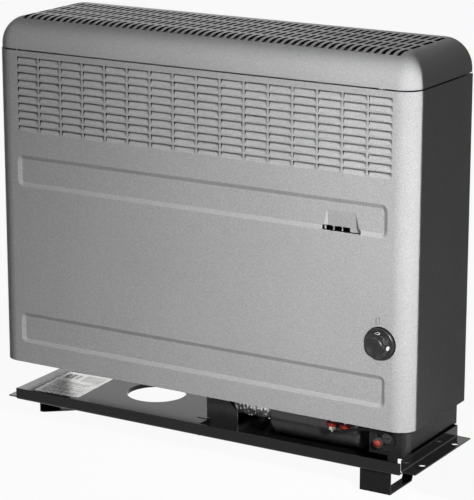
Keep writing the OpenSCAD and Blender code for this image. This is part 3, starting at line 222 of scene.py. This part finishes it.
redPlastic = {"grain": 900, "drift": 60, "vary": 0.08, "stain": 0.15, "wear": 0.2, "rough": (0.18, 0.3),
              "gloss": 0.5, "bumpScale": 500, "bump": 0.00005, "bumpStrength": 0.3}
softRubber = {"grain": 1300, "drift": 50, "vary": 0.2, "stain": 0.2, "wear": 0.2, "rough": (0.5, 0.7),
              "gloss": 0.4, "bumpScale": 900, "bump": 0.0001, "bumpStrength": 0.6}
castMetal = {"grain": 900, "drift": 40, "vary": 0.12, "stain": 0.25, "wear": 0.3, "rough": (0.35, 0.55),
             "metallic": 1.0, "bumpScale": 700, "bump": 0.0003, "bumpStrength": 0.6}
brassMetal = {"grain": 700, "drift": 60, "vary": 0.06, "stain": 0.35, "wear": 0.2, "rough": (0.2, 0.34),
              "metallic": 1.0, "bumpScale": 500, "bump": 0.0001, "bumpStrength": 0.3}
paleFibre = {"grain": 1600, "drift": 60, "vary": 0.1, "stain": 0.2, "rough": (0.8, 0.95),
             "gloss": 0.2, "bumpScale": 1500, "bump": 0.0004, "bumpStrength": 0.8}
rolled = {"lines": 900, "along": (0.04, 1, 1), "stain": 0.35, "stainColour": (0.25, 0.25, 0.26),
          "rough": (0.3, 0.5), "bump": 0.0001}
heated = {"lines": 700, "along": (0.05, 1, 1), "stain": 0.7, "stainColour": (0.11, 0.1, 0.095),
          "rough": (0.26, 0.46), "bump": 0.00012}
drawn = {"lines": 1200, "along": (1, 1, 0.05), "stain": 0.2, "stainColour": (0.4, 0.39, 0.38),
         "rough": (0.22, 0.38), "bump": 0.00006}
foilSheet = {"lines": 500, "along": (1, 1, 1), "stain": 0.15, "stainColour": (0.6, 0.6, 0.61),
             "rough": (0.3, 0.45), "bump": 0.0002, "metallic": 0.8}

finishes = {
    "cover_paint": sheetFinish("coverPaint", (0.5, 0.5, 0.505), (0.66, 0.66, 0.66), silver),
    "grille_plastic": sheetFinish("grilleMoulding", (0.52, 0.52, 0.525), (0.7, 0.7, 0.7), mould),
    # the deflector's colour is kept dark as painted shade inside the cap
    "deflector_sheet": brushedFinish("deflectorSheet", (0.2, 0.2, 0.205), rolled),
    "tray_paint": sheetFinish("trayPaint", (0.008, 0.008, 0.0085), (0.1, 0.1, 0.1), trayBlack),
    "foot_steel": sheetFinish("footPaint", (0.014, 0.014, 0.015), (0.2, 0.2, 0.2), blackPaint),
    "galvanised": brushedFinish("zincSheet", (0.48, 0.49, 0.5), rolled),
    "bracket_paint": sheetFinish("bracketPaint", (0.03, 0.03, 0.031), (0.4, 0.4, 0.4), blackPaint),
    "module_plastic": sheetFinish("modulePlastic", (0.03, 0.03, 0.031), (0.12, 0.12, 0.12), dullPlastic),
    "knob_plastic": sheetFinish("knobPlastic", (0.01, 0.01, 0.0105), (0.3, 0.3, 0.3), knobBlack),
    "button_plastic": sheetFinish("buttonPlastic", (0.4, 0.035, 0.02), (0.5, 0.08, 0.06), redPlastic),
    "cell_wrap": sheetFinish("cellWrap", (0.4, 0.3, 0.1), (0.6, 0.6, 0.6), redPlastic),
    "valve_cast": sheetFinish("valveCasting", (0.5, 0.5, 0.51), (0.7, 0.7, 0.7), castMetal),
    "brass": sheetFinish("turnedBrass", (0.62, 0.43, 0.17), (0.8, 0.62, 0.32), brassMetal),
    "pipe_metal": brushedFinish("pipeMetal", (0.68, 0.68, 0.69), drawn),
    "spindle_steel": brushedFinish("spindleSteel", (0.6, 0.6, 0.61), drawn),
    "burner_steel": brushedFinish("burnerSteel", (0.2, 0.2, 0.205), heated),
    "exchanger_steel": brushedFinish("exchangerSteel", (0.3, 0.3, 0.31), heated),
    "gasket_fibre": sheetFinish("gasketFibre", (0.7, 0.69, 0.66), (0.8, 0.8, 0.8), paleFibre),
    "bezel_plastic": sheetFinish("bezelPlastic", (0.06, 0.06, 0.062), (0.3, 0.3, 0.3), dullPlastic),
    "duct_foil": brushedFinish("ductFoil", (0.95, 0.95, 0.96), foilSheet),
    "flue_steel": brushedFinish("flueSteel", (0.42, 0.42, 0.43), rolled),
    "ceramic": sheetFinish("electrodeCeramic", (0.8, 0.78, 0.72), (0.85, 0.85, 0.82), redPlastic),
    "lead_rubber": sheetFinish("leadRubber", (0.012, 0.012, 0.012), (0.06, 0.06, 0.06), softRubber),
    "cap_rubber": sheetFinish("capRubber", (0.26, 0.012, 0.01), (0.4, 0.05, 0.04), softRubber),
}
# nodes that differ from the rest of their slot
finishes["burnerEnamel"] = sheetFinish("burnerEnamel", (0.13, 0.13, 0.132), (0.1, 0.1, 0.1), drumEnamel)
# the pale second colour of the shield is its painted edge highlight
finishes["shieldPaint"] = sheetFinish("shieldPaint", (0.03, 0.03, 0.031), (0.75, 0.75, 0.75), paintedEdgeHighlight)
finishes["nippleNickel"] = sheetFinish("nippleNickel", (0.6, 0.55, 0.46), (0.8, 0.78, 0.7), brassMetal)
ownFinish = {"burner_drum": "burnerEnamel", "duct_shield": "shieldPaint", "test_nipple": "nippleNickel"}
slotOf = {part["node"]: part["material_slot"] for part in frame["record"]["subparts"]}
for nodeName, nodeObject in frame["nodes"].items():
    nodeObject.data.materials.clear()
    nodeObject.data.materials.append(finishes[ownFinish.get(nodeName, slotOf[nodeName])])
print("finishes set:", len(finishes))


# pieces that the solids leave plain or leave out

def linkMesh(name, mesh, finish=None):
    piece = bpy.data.objects.new(name, mesh)
    bpy.context.collection.objects.link(piece)
    if finish is not None:
        mesh.materials.clear()
        mesh.materials.append(finish)
    return piece


def newTree(name, inputs):
    tree = bpy.data.node_groups.new(name, "GeometryNodeTree")
    tree.interface.new_socket("Geometry", in_out="INPUT", socket_type="NodeSocketGeometry")
    tree.interface.new_socket("Geometry", in_out="OUTPUT", socket_type="NodeSocketGeometry")
    for label, kind in inputs:
        tree.interface.new_socket(label, in_out="INPUT", socket_type=kind)
    return tree, addNode(tree, "NodeGroupInput"), addNode(tree, "NodeGroupOutput")


def mathOf(tree, operation, first, second=None):
    made = addNode(tree, "ShaderNodeMath", operation=operation)
    for socket, value in ((made.inputs[0], first), (made.inputs[1], second)):
        if isinstance(value, bpy.types.NodeSocket):
            tree.links.new(value, socket)
        elif value is not None:
            socket.default_value = value
    return made.outputs[0]


def growPiece(name, mesh, tree, values, solid=None):
    # runs the tree on a mesh and keeps the plain result
    source = linkMesh(name + "Source", mesh)
    modifier = source.modifiers.new(tree.name, "NODES")
    modifier.node_group = tree
    for item in tree.interface.items_tree:
        if item.item_type == "SOCKET" and item.in_out == "INPUT" and item.name in values:
            modifier[item.identifier] = values[item.name]
    if solid is not None:
        wall = source.modifiers.new("wall", "SOLIDIFY")
        wall.thickness, wall.offset, wall.use_even_offset = solid, -1.0, True
    plain = bpy.data.meshes.new_from_object(source.evaluated_get(bpy.context.evaluated_depsgraph_get()))
    bpy.data.objects.remove(source)
    return linkMesh(name, plain)


# the crinkled foil duct between the drum and the elbow

foilDuct = {"rings": 150, "around": 84, "pitch": 0.0046, "ridge": 0.0011, "crinkle": 0.0026,
            "crinkleScale": 210.0, "wander": 9.0, "dent": 1.6, "wall": 0.0005, "seed": 4.0}


def foilTree():
    tree, given, result = newTree("crinkledDuct", (
        ("Radius", "NodeSocketFloat"), ("Pitch", "NodeSocketFloat"), ("Ridge", "NodeSocketFloat"),
        ("Crinkle", "NodeSocketFloat"), ("Crinkle Scale", "NodeSocketFloat"), ("Seed", "NodeSocketFloat"),
        ("Wander", "NodeSocketFloat"), ("Dent", "NodeSocketFloat"),
        ("Rings", "NodeSocketInt"), ("Around", "NodeSocketInt"), ("Middle", "NodeSocketVector"),
        ("Finish", "NodeSocketMaterial")))
    link = tree.links.new
    path = addNode(tree, "GeometryNodeMeshToCurve")
    link(given.outputs["Geometry"], path.inputs["Mesh"])
    steps = addNode(tree, "GeometryNodeResampleCurve")
    link(path.outputs[0], steps.inputs["Curve"])
    link(given.outputs["Rings"], steps.inputs["Count"])
    ring = addNode(tree, "GeometryNodeCurvePrimitiveCircle")
    link(given.outputs["Around"], ring.inputs["Resolution"])
    link(given.outputs["Radius"], ring.inputs["Radius"])
    tube = addNode(tree, "GeometryNodeCurveToMesh")
    link(steps.outputs[0], tube.inputs["Curve"])
    link(ring.outputs[0], tube.inputs["Profile Curve"])
    place = addNode(tree, "GeometryNodeInputPosition").outputs[0]
    # the way in towards the axis
    away = addNode(tree, "ShaderNodeVectorMath", operation="SUBTRACT")
    link(place, away.inputs[0])
    link(given.outputs["Middle"], away.inputs[1])
    flat = addNode(tree, "ShaderNodeVectorMath", operation="MULTIPLY")
    link(away.outputs[0], flat.inputs[0])
    flat.inputs[1].default_value = (0, -1, -1)
    inward = addNode(tree, "ShaderNodeVectorMath", operation="NORMALIZE")
    link(flat.outputs[0], inward.inputs[0])
    noise = addNode(tree, "ShaderNodeTexNoise", noise_dimensions="4D")
    link(place, noise.inputs["Vector"])
    link(given.outputs["Seed"], noise.inputs["W"])
    link(given.outputs["Crinkle Scale"], noise.inputs["Scale"])
    noise.inputs["Detail"].default_value = 3.0
    folds = addNode(tree, "ShaderNodeTexVoronoi", feature="F1")
    link(place, folds.inputs["Vector"])
    link(given.outputs["Crinkle Scale"], folds.inputs["Scale"])
    parts = addNode(tree, "ShaderNodeSeparateXYZ")
    link(place, parts.inputs[0])
    # round ridges at the pitch, led astray by the noise
    turn = mathOf(tree, "DIVIDE", parts.outputs["X"], given.outputs["Pitch"])
    turn = mathOf(tree, "MULTIPLY", turn, math.tau)
    astray = mathOf(tree, "MULTIPLY", noise.outputs["Fac"], given.outputs["Wander"])
    turn = mathOf(tree, "ADD", turn, astray)
    ridge = mathOf(tree, "ADD", mathOf(tree, "SINE", turn), 1.0)
    ridge = mathOf(tree, "MULTIPLY", mathOf(tree, "MULTIPLY", ridge, 0.5), given.outputs["Ridge"])
    # sharp dents between the folds
    dent = mathOf(tree, "MULTIPLY", folds.outputs["Distance"], noise.outputs["Fac"])
    dent = mathOf(tree, "MULTIPLY", dent, given.outputs["Dent"])
    dent = mathOf(tree, "MULTIPLY", mathOf(tree, "MINIMUM", dent, 1.0), given.outputs["Crinkle"])
    depth = addNode(tree, "ShaderNodeVectorMath", operation="SCALE")
    link(inward.outputs[0], depth.inputs[0])
    link(mathOf(tree, "ADD", ridge, dent), depth.inputs["Scale"])
    shift = addNode(tree, "GeometryNodeSetPosition")
    link(tube.outputs[0], shift.inputs["Geometry"])
    link(depth.outputs[0], shift.inputs["Offset"])
    real = addNode(tree, "GeometryNodeRealizeInstances")
    link(shift.outputs[0], real.inputs[0])
    finish = addNode(tree, "GeometryNodeSetMaterial")
    link(real.outputs[0], finish.inputs["Geometry"])
    link(given.outputs["Finish"], finish.inputs["Material"])
    link(finish.outputs[0], result.inputs["Geometry"])
    return tree


def makeFoilDuct():
    low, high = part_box("flex_duct")
    middle = [(a + b) / 2 for a, b in zip(low, high)]
    radius = min(high[1] - low[1], high[2] - low[2]) / 2
    mesh = bpy.data.meshes.new("ductAxis")
    mesh.from_pydata([(low[0], middle[1], middle[2]), (high[0], middle[1], middle[2])], [(0, 1)], [])
    duct = growPiece("foilDuct", mesh, foilTree(), {
        "Radius": radius, "Pitch": foilDuct["pitch"], "Ridge": foilDuct["ridge"],
        "Crinkle": foilDuct["crinkle"], "Crinkle Scale": foilDuct["crinkleScale"],
        "Wander": foilDuct["wander"], "Dent": foilDuct["dent"], "Seed": foilDuct["seed"],
        "Rings": foilDuct["rings"], "Around": foilDuct["around"], "Middle": middle,
        "Finish": finishes["duct_foil"]}, foilDuct["wall"])
    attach(duct, "heater")
    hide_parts("flex_duct")
    print("foil duct made:", len(duct.data.polygons), "faces")


# small hexagon-head screws along the exchanger's seam

seamScrews = {"head": 0.0029, "height": 0.0022, "washer": 0.0038, "seed": 7, "slot": "spindle_steel",
              "sheet": 0.001, "edge": 0.0045,
              # stacked discs: corners, radius, share of the height, lift and taper
              "discs": ((20, "Washer Radius", 0.22, 0.0, 1.0), (6, "Head Radius", 0.6, 0.2, 1.0),
                        (6, "Head Radius", 0.2, 0.8, 0.78)),
              # rows up the two sides and along the top: count, first and last place from the ends
              "upright": (5, 0.022, 0.028), "across": (6, 0.04, 0.04)}


def screwTree():
    tree, given, result = newTree("hexScrews", (
        ("Head Radius", "NodeSocketFloat"), ("Head Height", "NodeSocketFloat"),
        ("Washer Radius", "NodeSocketFloat"), ("Facing", "NodeSocketVector"),
        ("Seed", "NodeSocketInt"), ("Finish", "NodeSocketMaterial")))
    link = tree.links.new
    height = given.outputs["Head Height"]

    def disc(sides, radiusName, tall, lift, taper):
        radius = given.outputs[radiusName]
        shape = addNode(tree, "GeometryNodeMeshCone")
        shape.inputs["Vertices"].default_value = sides
        link(radius, shape.inputs["Radius Bottom"])
        link(mathOf(tree, "MULTIPLY", radius, taper), shape.inputs["Radius Top"])
        link(mathOf(tree, "MULTIPLY", height, tall), shape.inputs["Depth"])
        raised = addNode(tree, "ShaderNodeCombineXYZ")
        link(mathOf(tree, "MULTIPLY", height, lift), raised.inputs["Z"])
        moved = addNode(tree, "GeometryNodeTransform")
        link(shape.outputs["Mesh"], moved.inputs["Geometry"])
        link(raised.outputs[0], moved.inputs["Translation"])
        return moved.outputs[0]

    head = addNode(tree, "GeometryNodeJoinGeometry")
    for facts in seamScrews["discs"]:
        link(disc(*facts), head.inputs[0])
    spot = addNode(tree, "GeometryNodeInstanceOnPoints")
    link(given.outputs["Geometry"], spot.inputs["Points"])
    link(head.outputs[0], spot.inputs["Instance"])
    facing = addNode(tree, "FunctionNodeEulerToRotation")
    link(given.outputs["Facing"], facing.inputs[0])
    link(facing.outputs[0], spot.inputs["Rotation"])
    chance = addNode(tree, "FunctionNodeRandomValue", data_type="FLOAT")
    chance.inputs[3].default_value = math.tau
    link(given.outputs["Seed"], chance.inputs["Seed"])
    spin = addNode(tree, "ShaderNodeCombineXYZ")
    link(chance.outputs[1], spin.inputs["Z"])
    spinTurn = addNode(tree, "FunctionNodeEulerToRotation")
    link(spin.outputs[0], spinTurn.inputs[0])
    twist = addNode(tree, "GeometryNodeRotateInstances")
    link(spot.outputs[0], twist.inputs["Instances"])
    link(spinTurn.outputs[0], twist.inputs["Rotation"])
    real = addNode(tree, "GeometryNodeRealizeInstances")
    link(twist.outputs[0], real.inputs[0])
    finish = addNode(tree, "GeometryNodeSetMaterial")
    link(real.outputs[0], finish.inputs["Geometry"])
    link(given.outputs["Finish"], finish.inputs["Material"])
    link(finish.outputs[0], result.inputs["Geometry"])
    return tree


def rowOf(low, high, row):
    count, first, last = row
    return [low + first + i * (high - low - first - last) / (count - 1) for i in range(count)]


def makeScrews():
    low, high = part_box("exchanger_front_shell")
    edge = seamScrews["edge"]
    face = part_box("exchanger_gasket")[0][1] - seamScrews["sheet"]
    spots = [(x, face, z) for x in (low[0] + edge, high[0] - edge)
             for z in rowOf(low[2], high[2], seamScrews["upright"])]
    spots += [(x, face, high[2] - edge) for x in rowOf(low[0], high[0], seamScrews["across"])]
    mesh = bpy.data.meshes.new("seamScrewsSpots")
    mesh.from_pydata(spots, [], [])
    screws = growPiece("seamScrews", mesh, screwTree(), {
        "Head Radius": seamScrews["head"], "Head Height": seamScrews["height"],
        "Washer Radius": seamScrews["washer"], "Facing": (math.radians(90), 0, 0),
        "Seed": seamScrews["seed"], "Finish": finishes[seamScrews["slot"]]})
    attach(screws, "heater")
    print("screws set:", len(spots))


# the marks on the control knob: an open ring at the top and a pale dot at the side

# the knob's axis in x and z, then y and radius at the front and back of its cone
knobMarks = {"axis": (0.22525, 0.1625), "front": (-0.07275, 0.01175), "back": (-0.06425, 0.015),
             "proud": 0.00014, "sunk": 0.0004, "steps": 40,
             "ring": {"angle": 4, "depth": -0.06795, "half": (0.00305, 0.0018), "line": 0.00062},
             "dot": {"angle": 95, "depth": -0.06785, "half": (0.0026, 0.0022), "line": None}}


def makeKnobMark(name, facts, finish):
    # a thin patch wrapped round the knob's cone
    (frontY, frontR), (backY, backR) = knobMarks["front"], knobMarks["back"]
    slope = (backR - frontR) / (backY - frontY)
    axisX, axisZ = knobMarks["axis"]
    steps = knobMarks["steps"]

    def wrap(across, along, lift):
        y = facts["depth"] + along
        radius = frontR + (y - frontY) * slope
        turn = math.radians(facts["angle"]) + across / radius
        radius += lift
        return (axisX + radius * math.sin(turn), y, axisZ + radius * math.cos(turn))

    wide, tall = facts["half"]
    scales = [1.0, (wide - facts["line"]) / wide] if facts["line"] else [1.0, 0.66, 0.33]
    made = bmesh.new()
    layers = []
    for lift in (knobMarks["proud"], -knobMarks["sunk"]):
        rings = []
        for index, scale in enumerate(scales):
            high = (tall - facts["line"]) / tall if facts["line"] and index else scale
            rings.append([made.verts.new(wrap(wide * scale * math.cos(math.tau * k / steps),
                                              tall * high * math.sin(math.tau * k / steps), lift))
                          for k in range(steps)])
        layers.append(rings)
    for k in range(steps):
        n = (k + 1) % steps
        for rings in layers:
            for outer, inner in zip(rings, rings[1:]):
                made.faces.new((outer[k], outer[n], inner[n], inner[k]))
        made.faces.new((layers[0][0][k], layers[1][0][k], layers[1][0][n], layers[0][0][n]))
        if facts["line"]:
            made.faces.new((layers[0][-1][k], layers[0][-1][n], layers[1][-1][n], layers[1][-1][k]))
    if not facts["line"]:
        for rings in layers:
            made.faces.new(rings[-1])
    bmesh.ops.recalc_face_normals(made, faces=made.faces)
    mesh = bpy.data.meshes.new(name)
    made.to_mesh(mesh)
    made.free()
    mark = linkMesh(name, mesh, finish)
    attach(mark, "control_knob")


# the sticker on the tray, with plain printed bars

sticker = {"corner": (-0.2190, -0.0720), "turn": 3.0, "size": (0.0605, 0.0785), "round": 0.002,
           "floor": 0.03902, "thick": 0.00018,
           "paper": (0.86, 0.86, 0.85), "ink": (0.06, 0.06, 0.06),
           # start, end and step of the printed rows, and the share of a step that is inked
           "rows": (0.006, 0.046, 0.0031), "rowsWide": (0.005, 0.054), "rowShare": 0.4,
           "shortest": 0.006, "rowInk": 0.7,
           # x and y limits of the bar block and of the pale panel
           "code": (0.005, 0.024, 0.056, 0.072), "bar": 0.0009, "barChance": 0.35,
           "panel": (0.03, 0.056, 0.052, 0.074), "panelInk": 0.35,
           "metallic": 0.75, "rough": (0.2, 0.32), "roughScale": 90,
           "aged": 0.9, "agedScale": 60,
           # scale, height and strength of the paper's buckles
           "buckle": (120, 0.0002, 0.3)}


def stickerFinish():
    material, tree, shader, place = newMaterial("stickerPrint")
    local = addNode(tree, "ShaderNodeMapping", vector_type="TEXTURE")
    local.inputs["Location"].default_value = (*sticker["corner"], 0)
    local.inputs["Rotation"].default_value = (0, 0, math.radians(sticker["turn"]))
    tree.links.new(place, local.inputs["Vector"])
    parts = addNode(tree, "ShaderNodeSeparateXYZ")
    tree.links.new(local.outputs[0], parts.inputs[0])
    across, along = parts.outputs["X"], parts.outputs["Y"]

    def both(first, second):
        return mathOf(tree, "MULTIPLY", first, second)

    def within(value, low, high):
        return both(mathOf(tree, "GREATER_THAN", value, low), mathOf(tree, "LESS_THAN", value, high))

    def chanceOf(value, step):
        made = addNode(tree, "ShaderNodeTexWhiteNoise", noise_dimensions="1D")
        tree.links.new(mathOf(tree, "FLOOR", mathOf(tree, "DIVIDE", value, step)), made.inputs["W"])
        return made.outputs["Value"]

    start, end, step = sticker["rows"]
    left, right = sticker["rowsWide"]
    inRow = mathOf(tree, "LESS_THAN", mathOf(tree, "MODULO", along, step), step * sticker["rowShare"])
    reach = mathOf(tree, "ADD", both(chanceOf(along, step), right - left), left + sticker["shortest"])
    rows = both(inRow, mathOf(tree, "LESS_THAN", across, reach))
    rows = both(rows, both(within(along, start, end), within(across, left, right)))
    x0, x1, y0, y1 = sticker["code"]
    code = both(within(across, x0, x1), within(along, y0, y1))
    bars = mathOf(tree, "GREATER_THAN", chanceOf(across, sticker["bar"]), sticker["barChance"])
    code = both(code, bars)
    x0, x1, y0, y1 = sticker["panel"]
    panel = both(both(within(across, x0, x1), within(along, y0, y1)), sticker["panelInk"])
    ink = mathOf(tree, "MAXIMUM", both(rows, sticker["rowInk"]), code)
    ink = mathOf(tree, "MAXIMUM", ink, panel)
    aged = tuple(c * sticker["aged"] for c in sticker["paper"])
    paper = mixColours(tree, noiseOf(tree, place, sticker["agedScale"], 4.0), aged, sticker["paper"])
    tree.links.new(mixColours(tree, ink, paper, sticker["ink"]), shader.inputs["Base Color"])
    rough = spread(tree, noiseOf(tree, place, sticker["roughScale"]), *sticker["rough"])
    tree.links.new(rough, shader.inputs["Roughness"])
    shader.inputs["Metallic"].default_value = sticker["metallic"]
    scale, height, strength = sticker["buckle"]
    addBump(tree, shader, noiseOf(tree, place, scale), height, strength)
    return material


def makeSticker():
    wide, deep = sticker["size"]
    corner = sticker["round"]
    outline = []
    for cx, cy, start in ((wide - corner, corner, -90), (wide - corner, deep - corner, 0),
                          (corner, deep - corner, 90), (corner, corner, 180)):
        for k in range(7):
            angle = math.radians(start + 15 * k)
            outline.append((cx + corner * math.cos(angle), cy + corner * math.sin(angle)))
    turn = math.radians(sticker["turn"])
    made = bmesh.new()
    low, high = [], []
    for u, v in outline:
        x = sticker["corner"][0] + u * math.cos(turn) - v * math.sin(turn)
        y = sticker["corner"][1] + u * math.sin(turn) + v * math.cos(turn)
        low.append(made.verts.new((x, y, sticker["floor"])))
        high.append(made.verts.new((x, y, sticker["floor"] + sticker["thick"])))
    made.faces.new(high)
    made.faces.new(list(reversed(low)))
    for k in range(len(low)):
        n = (k + 1) % len(low)
        made.faces.new((low[k], low[n], high[n], high[k]))
    mesh = bpy.data.meshes.new("traySticker")
    made.to_mesh(mesh)
    made.free()
    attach(linkMesh("traySticker", mesh, stickerFinish()), "heater")


makeFoilDuct()
makeScrews()
markPaint = sheetFinish("knobMarkPaint", (0.78, 0.78, 0.76), (0.6, 0.6, 0.6), redPlastic)
makeKnobMark("knobRingMark", knobMarks["ring"], markPaint)
makeKnobMark("knobDotMark", knobMarks["dot"], markPaint)
makeSticker()
print("marks and sticker made")


# floor, light and camera

studio = {"floorSize": 60.0, "floorColour": (0.86, 0.86, 0.86), "bounceShade": 0.35,
          "whiteShare": 0.94, "ambient": 0.02,
          "paper": {"rough": 0.9, "mottle": 3, "dark": 0.97},
          "cloth": {"colour": (0.02, 0.02, 0.02), "grain": 90, "rough": (0.7, 1.0)},
          "flags": {
              # corners of the cards that keep the grazing lamp off the right side and the top
              "sideFlag": [(0.2715, -0.05, 0.0), (1.0, -0.05, 0.0), (1.0, -0.05, 1.1), (0.2715, -0.05, 1.1)],
              "topFlag": [(-0.2, -0.166, 0.56), (0.65, -0.166, 0.56), (0.65, 0.03, 0.56), (-0.2, 0.03, 0.56)]},
          # left and right end, depth, lower and upper edge, strength
          "backGap": ((-0.268, -0.03), 0.07, (0.036, 0.1), 1.1),
          # nodes that throw no shadow from the grazing lamp
          "unshadowed": ("knob", "knob_grip"),
          "lamps": {
              # place, aim, power, size, spread in degrees
              "grazeLamp": ((1.8, -1.1, 1.3), (0.37, -0.06, 0.32), 3.05, (0.4, 0.3), 38),
              "keyLamp": ((0.265, -0.52, 0.42), (0.2, 0, 0.35), 1.0, (0.12, 1.2), 180),
              "topLamp": ((0.1, -0.2, 2.4), (0, 0, 0.3), 0.6, 1.6, 180),
              "backLamp": ((-1.6, 1.7, 1.5), (0, 0, 0.25), 8.0, 1.6, 180)}}
view = {"place": (1.29545, -2.13425, 0.8807), "yaw": 31.0, "pitch": -14.805, "lens": 174.98, "sensor": 36.0}


def makeFloor():
    mesh = bpy.data.meshes.new("floor")
    half = studio["floorSize"] / 2
    corners = [(-half, -half, 0), (half, -half, 0), (half, half, 0), (-half, half, 0)]
    mesh.from_pydata(corners, [], [(0, 1, 2, 3)])
    material, tree, shader, place = newMaterial("floorPaper")
    facts = studio["paper"]
    shader.inputs["Roughness"].default_value = facts["rough"]
    tone = tuple(c * facts["dark"] for c in studio["floorColour"])
    paper = mixColours(tree, noiseOf(tree, place, facts["mottle"]), tone, studio["floorColour"])
    path = addNode(tree, "ShaderNodeLightPath")
    shaded = tuple(c * studio["bounceShade"] for c in studio["floorColour"])
    tree.links.new(mixColours(tree, path.outputs["Is Diffuse Ray"], paper, shaded), shader.inputs["Base Color"])
    glow = addNode(tree, "ShaderNodeEmission")
    seen = addNode(tree, "ShaderNodeMath", operation="MAXIMUM")
    share = addNode(tree, "ShaderNodeMath", operation="MULTIPLY")
    share.inputs[1].default_value = studio["whiteShare"]
    both = addNode(tree, "ShaderNodeMixShader")
    tree.links.new(path.outputs["Is Camera Ray"], seen.inputs[0])
    tree.links.new(path.outputs["Is Glossy Ray"], seen.inputs[1])
    tree.links.new(seen.outputs[0], share.inputs[0])
    tree.links.new(share.outputs[0], both.inputs[0])
    tree.links.new(shader.outputs["BSDF"], both.inputs[1])
    tree.links.new(glow.outputs[0], both.inputs[2])
    tree.links.new(both.outputs[0], tree.nodes["Material Output"].inputs["Surface"])
    linkMesh("floor", mesh, material)


def makeWorld():
    world = bpy.data.worlds.new("studioWorld")
    world.use_nodes = True
    tree = world.node_tree
    tree.nodes.clear()
    path = addNode(tree, "ShaderNodeLightPath")
    background = addNode(tree, "ShaderNodeBackground")
    output = addNode(tree, "ShaderNodeOutputWorld")
    first = addNode(tree, "ShaderNodeMath", operation="MAXIMUM")
    second = addNode(tree, "ShaderNodeMath", operation="MAXIMUM")
    strength = addNode(tree, "ShaderNodeMapRange")
    strength.inputs["To Min"].default_value = studio["ambient"]
    strength.inputs["To Max"].default_value = 1.0
    tree.links.new(path.outputs["Is Camera Ray"], first.inputs[0])
    tree.links.new(path.outputs["Is Glossy Ray"], first.inputs[1])
    tree.links.new(first.outputs[0], second.inputs[0])
    tree.links.new(path.outputs["Is Transmission Ray"], second.inputs[1])
    tree.links.new(second.outputs[0], strength.inputs["Value"])
    tree.links.new(strength.outputs["Result"], background.inputs["Strength"])
    tree.links.new(background.outputs[0], output.inputs["Surface"])
    background.inputs["Color"].default_value = (1, 1, 1, 1)
    bpy.context.scene.world = world


def makeLamp(name, place, aim, power, size, spreadAngle):
    light = bpy.data.lights.new(name, "AREA")
    light.energy = power
    if isinstance(size, tuple):
        light.shape = "RECTANGLE"
        light.size, light.size_y = size
    else:
        light.size = size
    lamp = bpy.data.objects.new(name, light)
    bpy.context.collection.objects.link(lamp)
    lamp.visible_camera = False
    light.spread = math.radians(spreadAngle)
    lamp.location = place
    lamp.rotation_euler = (Vector(aim) - Vector(place)).to_track_quat("-Z", "Y").to_euler()
    return lamp


def leaveOut(collection):
    # a lamp with this collection is blocked by everything but what is in it
    for held in collection.collection_objects:
        held.light_linking.link_state = "EXCLUDE"
    return collection


def makeFlags():
    material, tree, shader, place = newMaterial("flagCloth")
    cloth = studio["cloth"]
    rough = spread(tree, noiseOf(tree, place, cloth["grain"]), *cloth["rough"])
    tree.links.new(rough, shader.inputs["Roughness"])
    shader.inputs["Base Color"].default_value = (*cloth["colour"], 1)
    cards = bpy.data.collections.new("flagCards")
    for name, corners in studio["flags"].items():
        mesh = bpy.data.meshes.new(name)
        mesh.from_pydata(corners, [], [(0, 1, 2, 3)])
        card = linkMesh(name, mesh, material)
        cards.objects.link(card)
        card.visible_camera = card.visible_diffuse = card.visible_glossy = False
    return leaveOut(cards)


def makeBackGap():
    # the pale room seen through the open back, mirrored by the tray
    (left, right), depth, (low, high), strength = studio["backGap"]
    mesh = bpy.data.meshes.new("backGap")
    corners = [(left, depth, low), (right, depth, low), (right, depth, high), (left, depth, high)]
    mesh.from_pydata(corners, [], [(0, 1, 2, 3)])
    material, tree, shader, place = newMaterial("backGapPaper")
    glow = spread(tree, noiseOf(tree, place, 8), strength * 0.95, strength)
    tree.links.new(glow, shader.inputs["Emission Strength"])
    shader.inputs["Base Color"].default_value = (0, 0, 0, 1)
    shader.inputs["Emission Color"].default_value = (1, 1, 1, 1)
    card = linkMesh("backGap", mesh, material)
    card.visible_camera = card.visible_shadow = False


makeFloor()
makeWorld()
makeBackGap()
flagCards = makeFlags()
knobPieces = bpy.data.collections.new("knobPieces")
for nodeName in studio["unshadowed"]:
    knobPieces.objects.link(frame["nodes"][nodeName])
leaveOut(knobPieces)
for lampName, lampFacts in studio["lamps"].items():
    lamp = makeLamp(lampName, *lampFacts)
    lamp.light_linking.blocker_collection = knobPieces if lampName == "grazeLamp" else flagCards

lens = bpy.data.cameras.new("photoCamera")
lens.sensor_fit = "HORIZONTAL"
lens.sensor_width = view["sensor"]
lens.lens = view["lens"]
lens.clip_end = 100
camera = bpy.data.objects.new("photoCamera", lens)
bpy.context.collection.objects.link(camera)
camera.location = view["place"]
camera.rotation_euler = (math.radians(90 + view["pitch"]), 0, math.radians(view["yaw"]))
bpy.context.scene.camera = camera
bpy.context.scene.view_settings.view_transform = "Standard"
print("studio set")
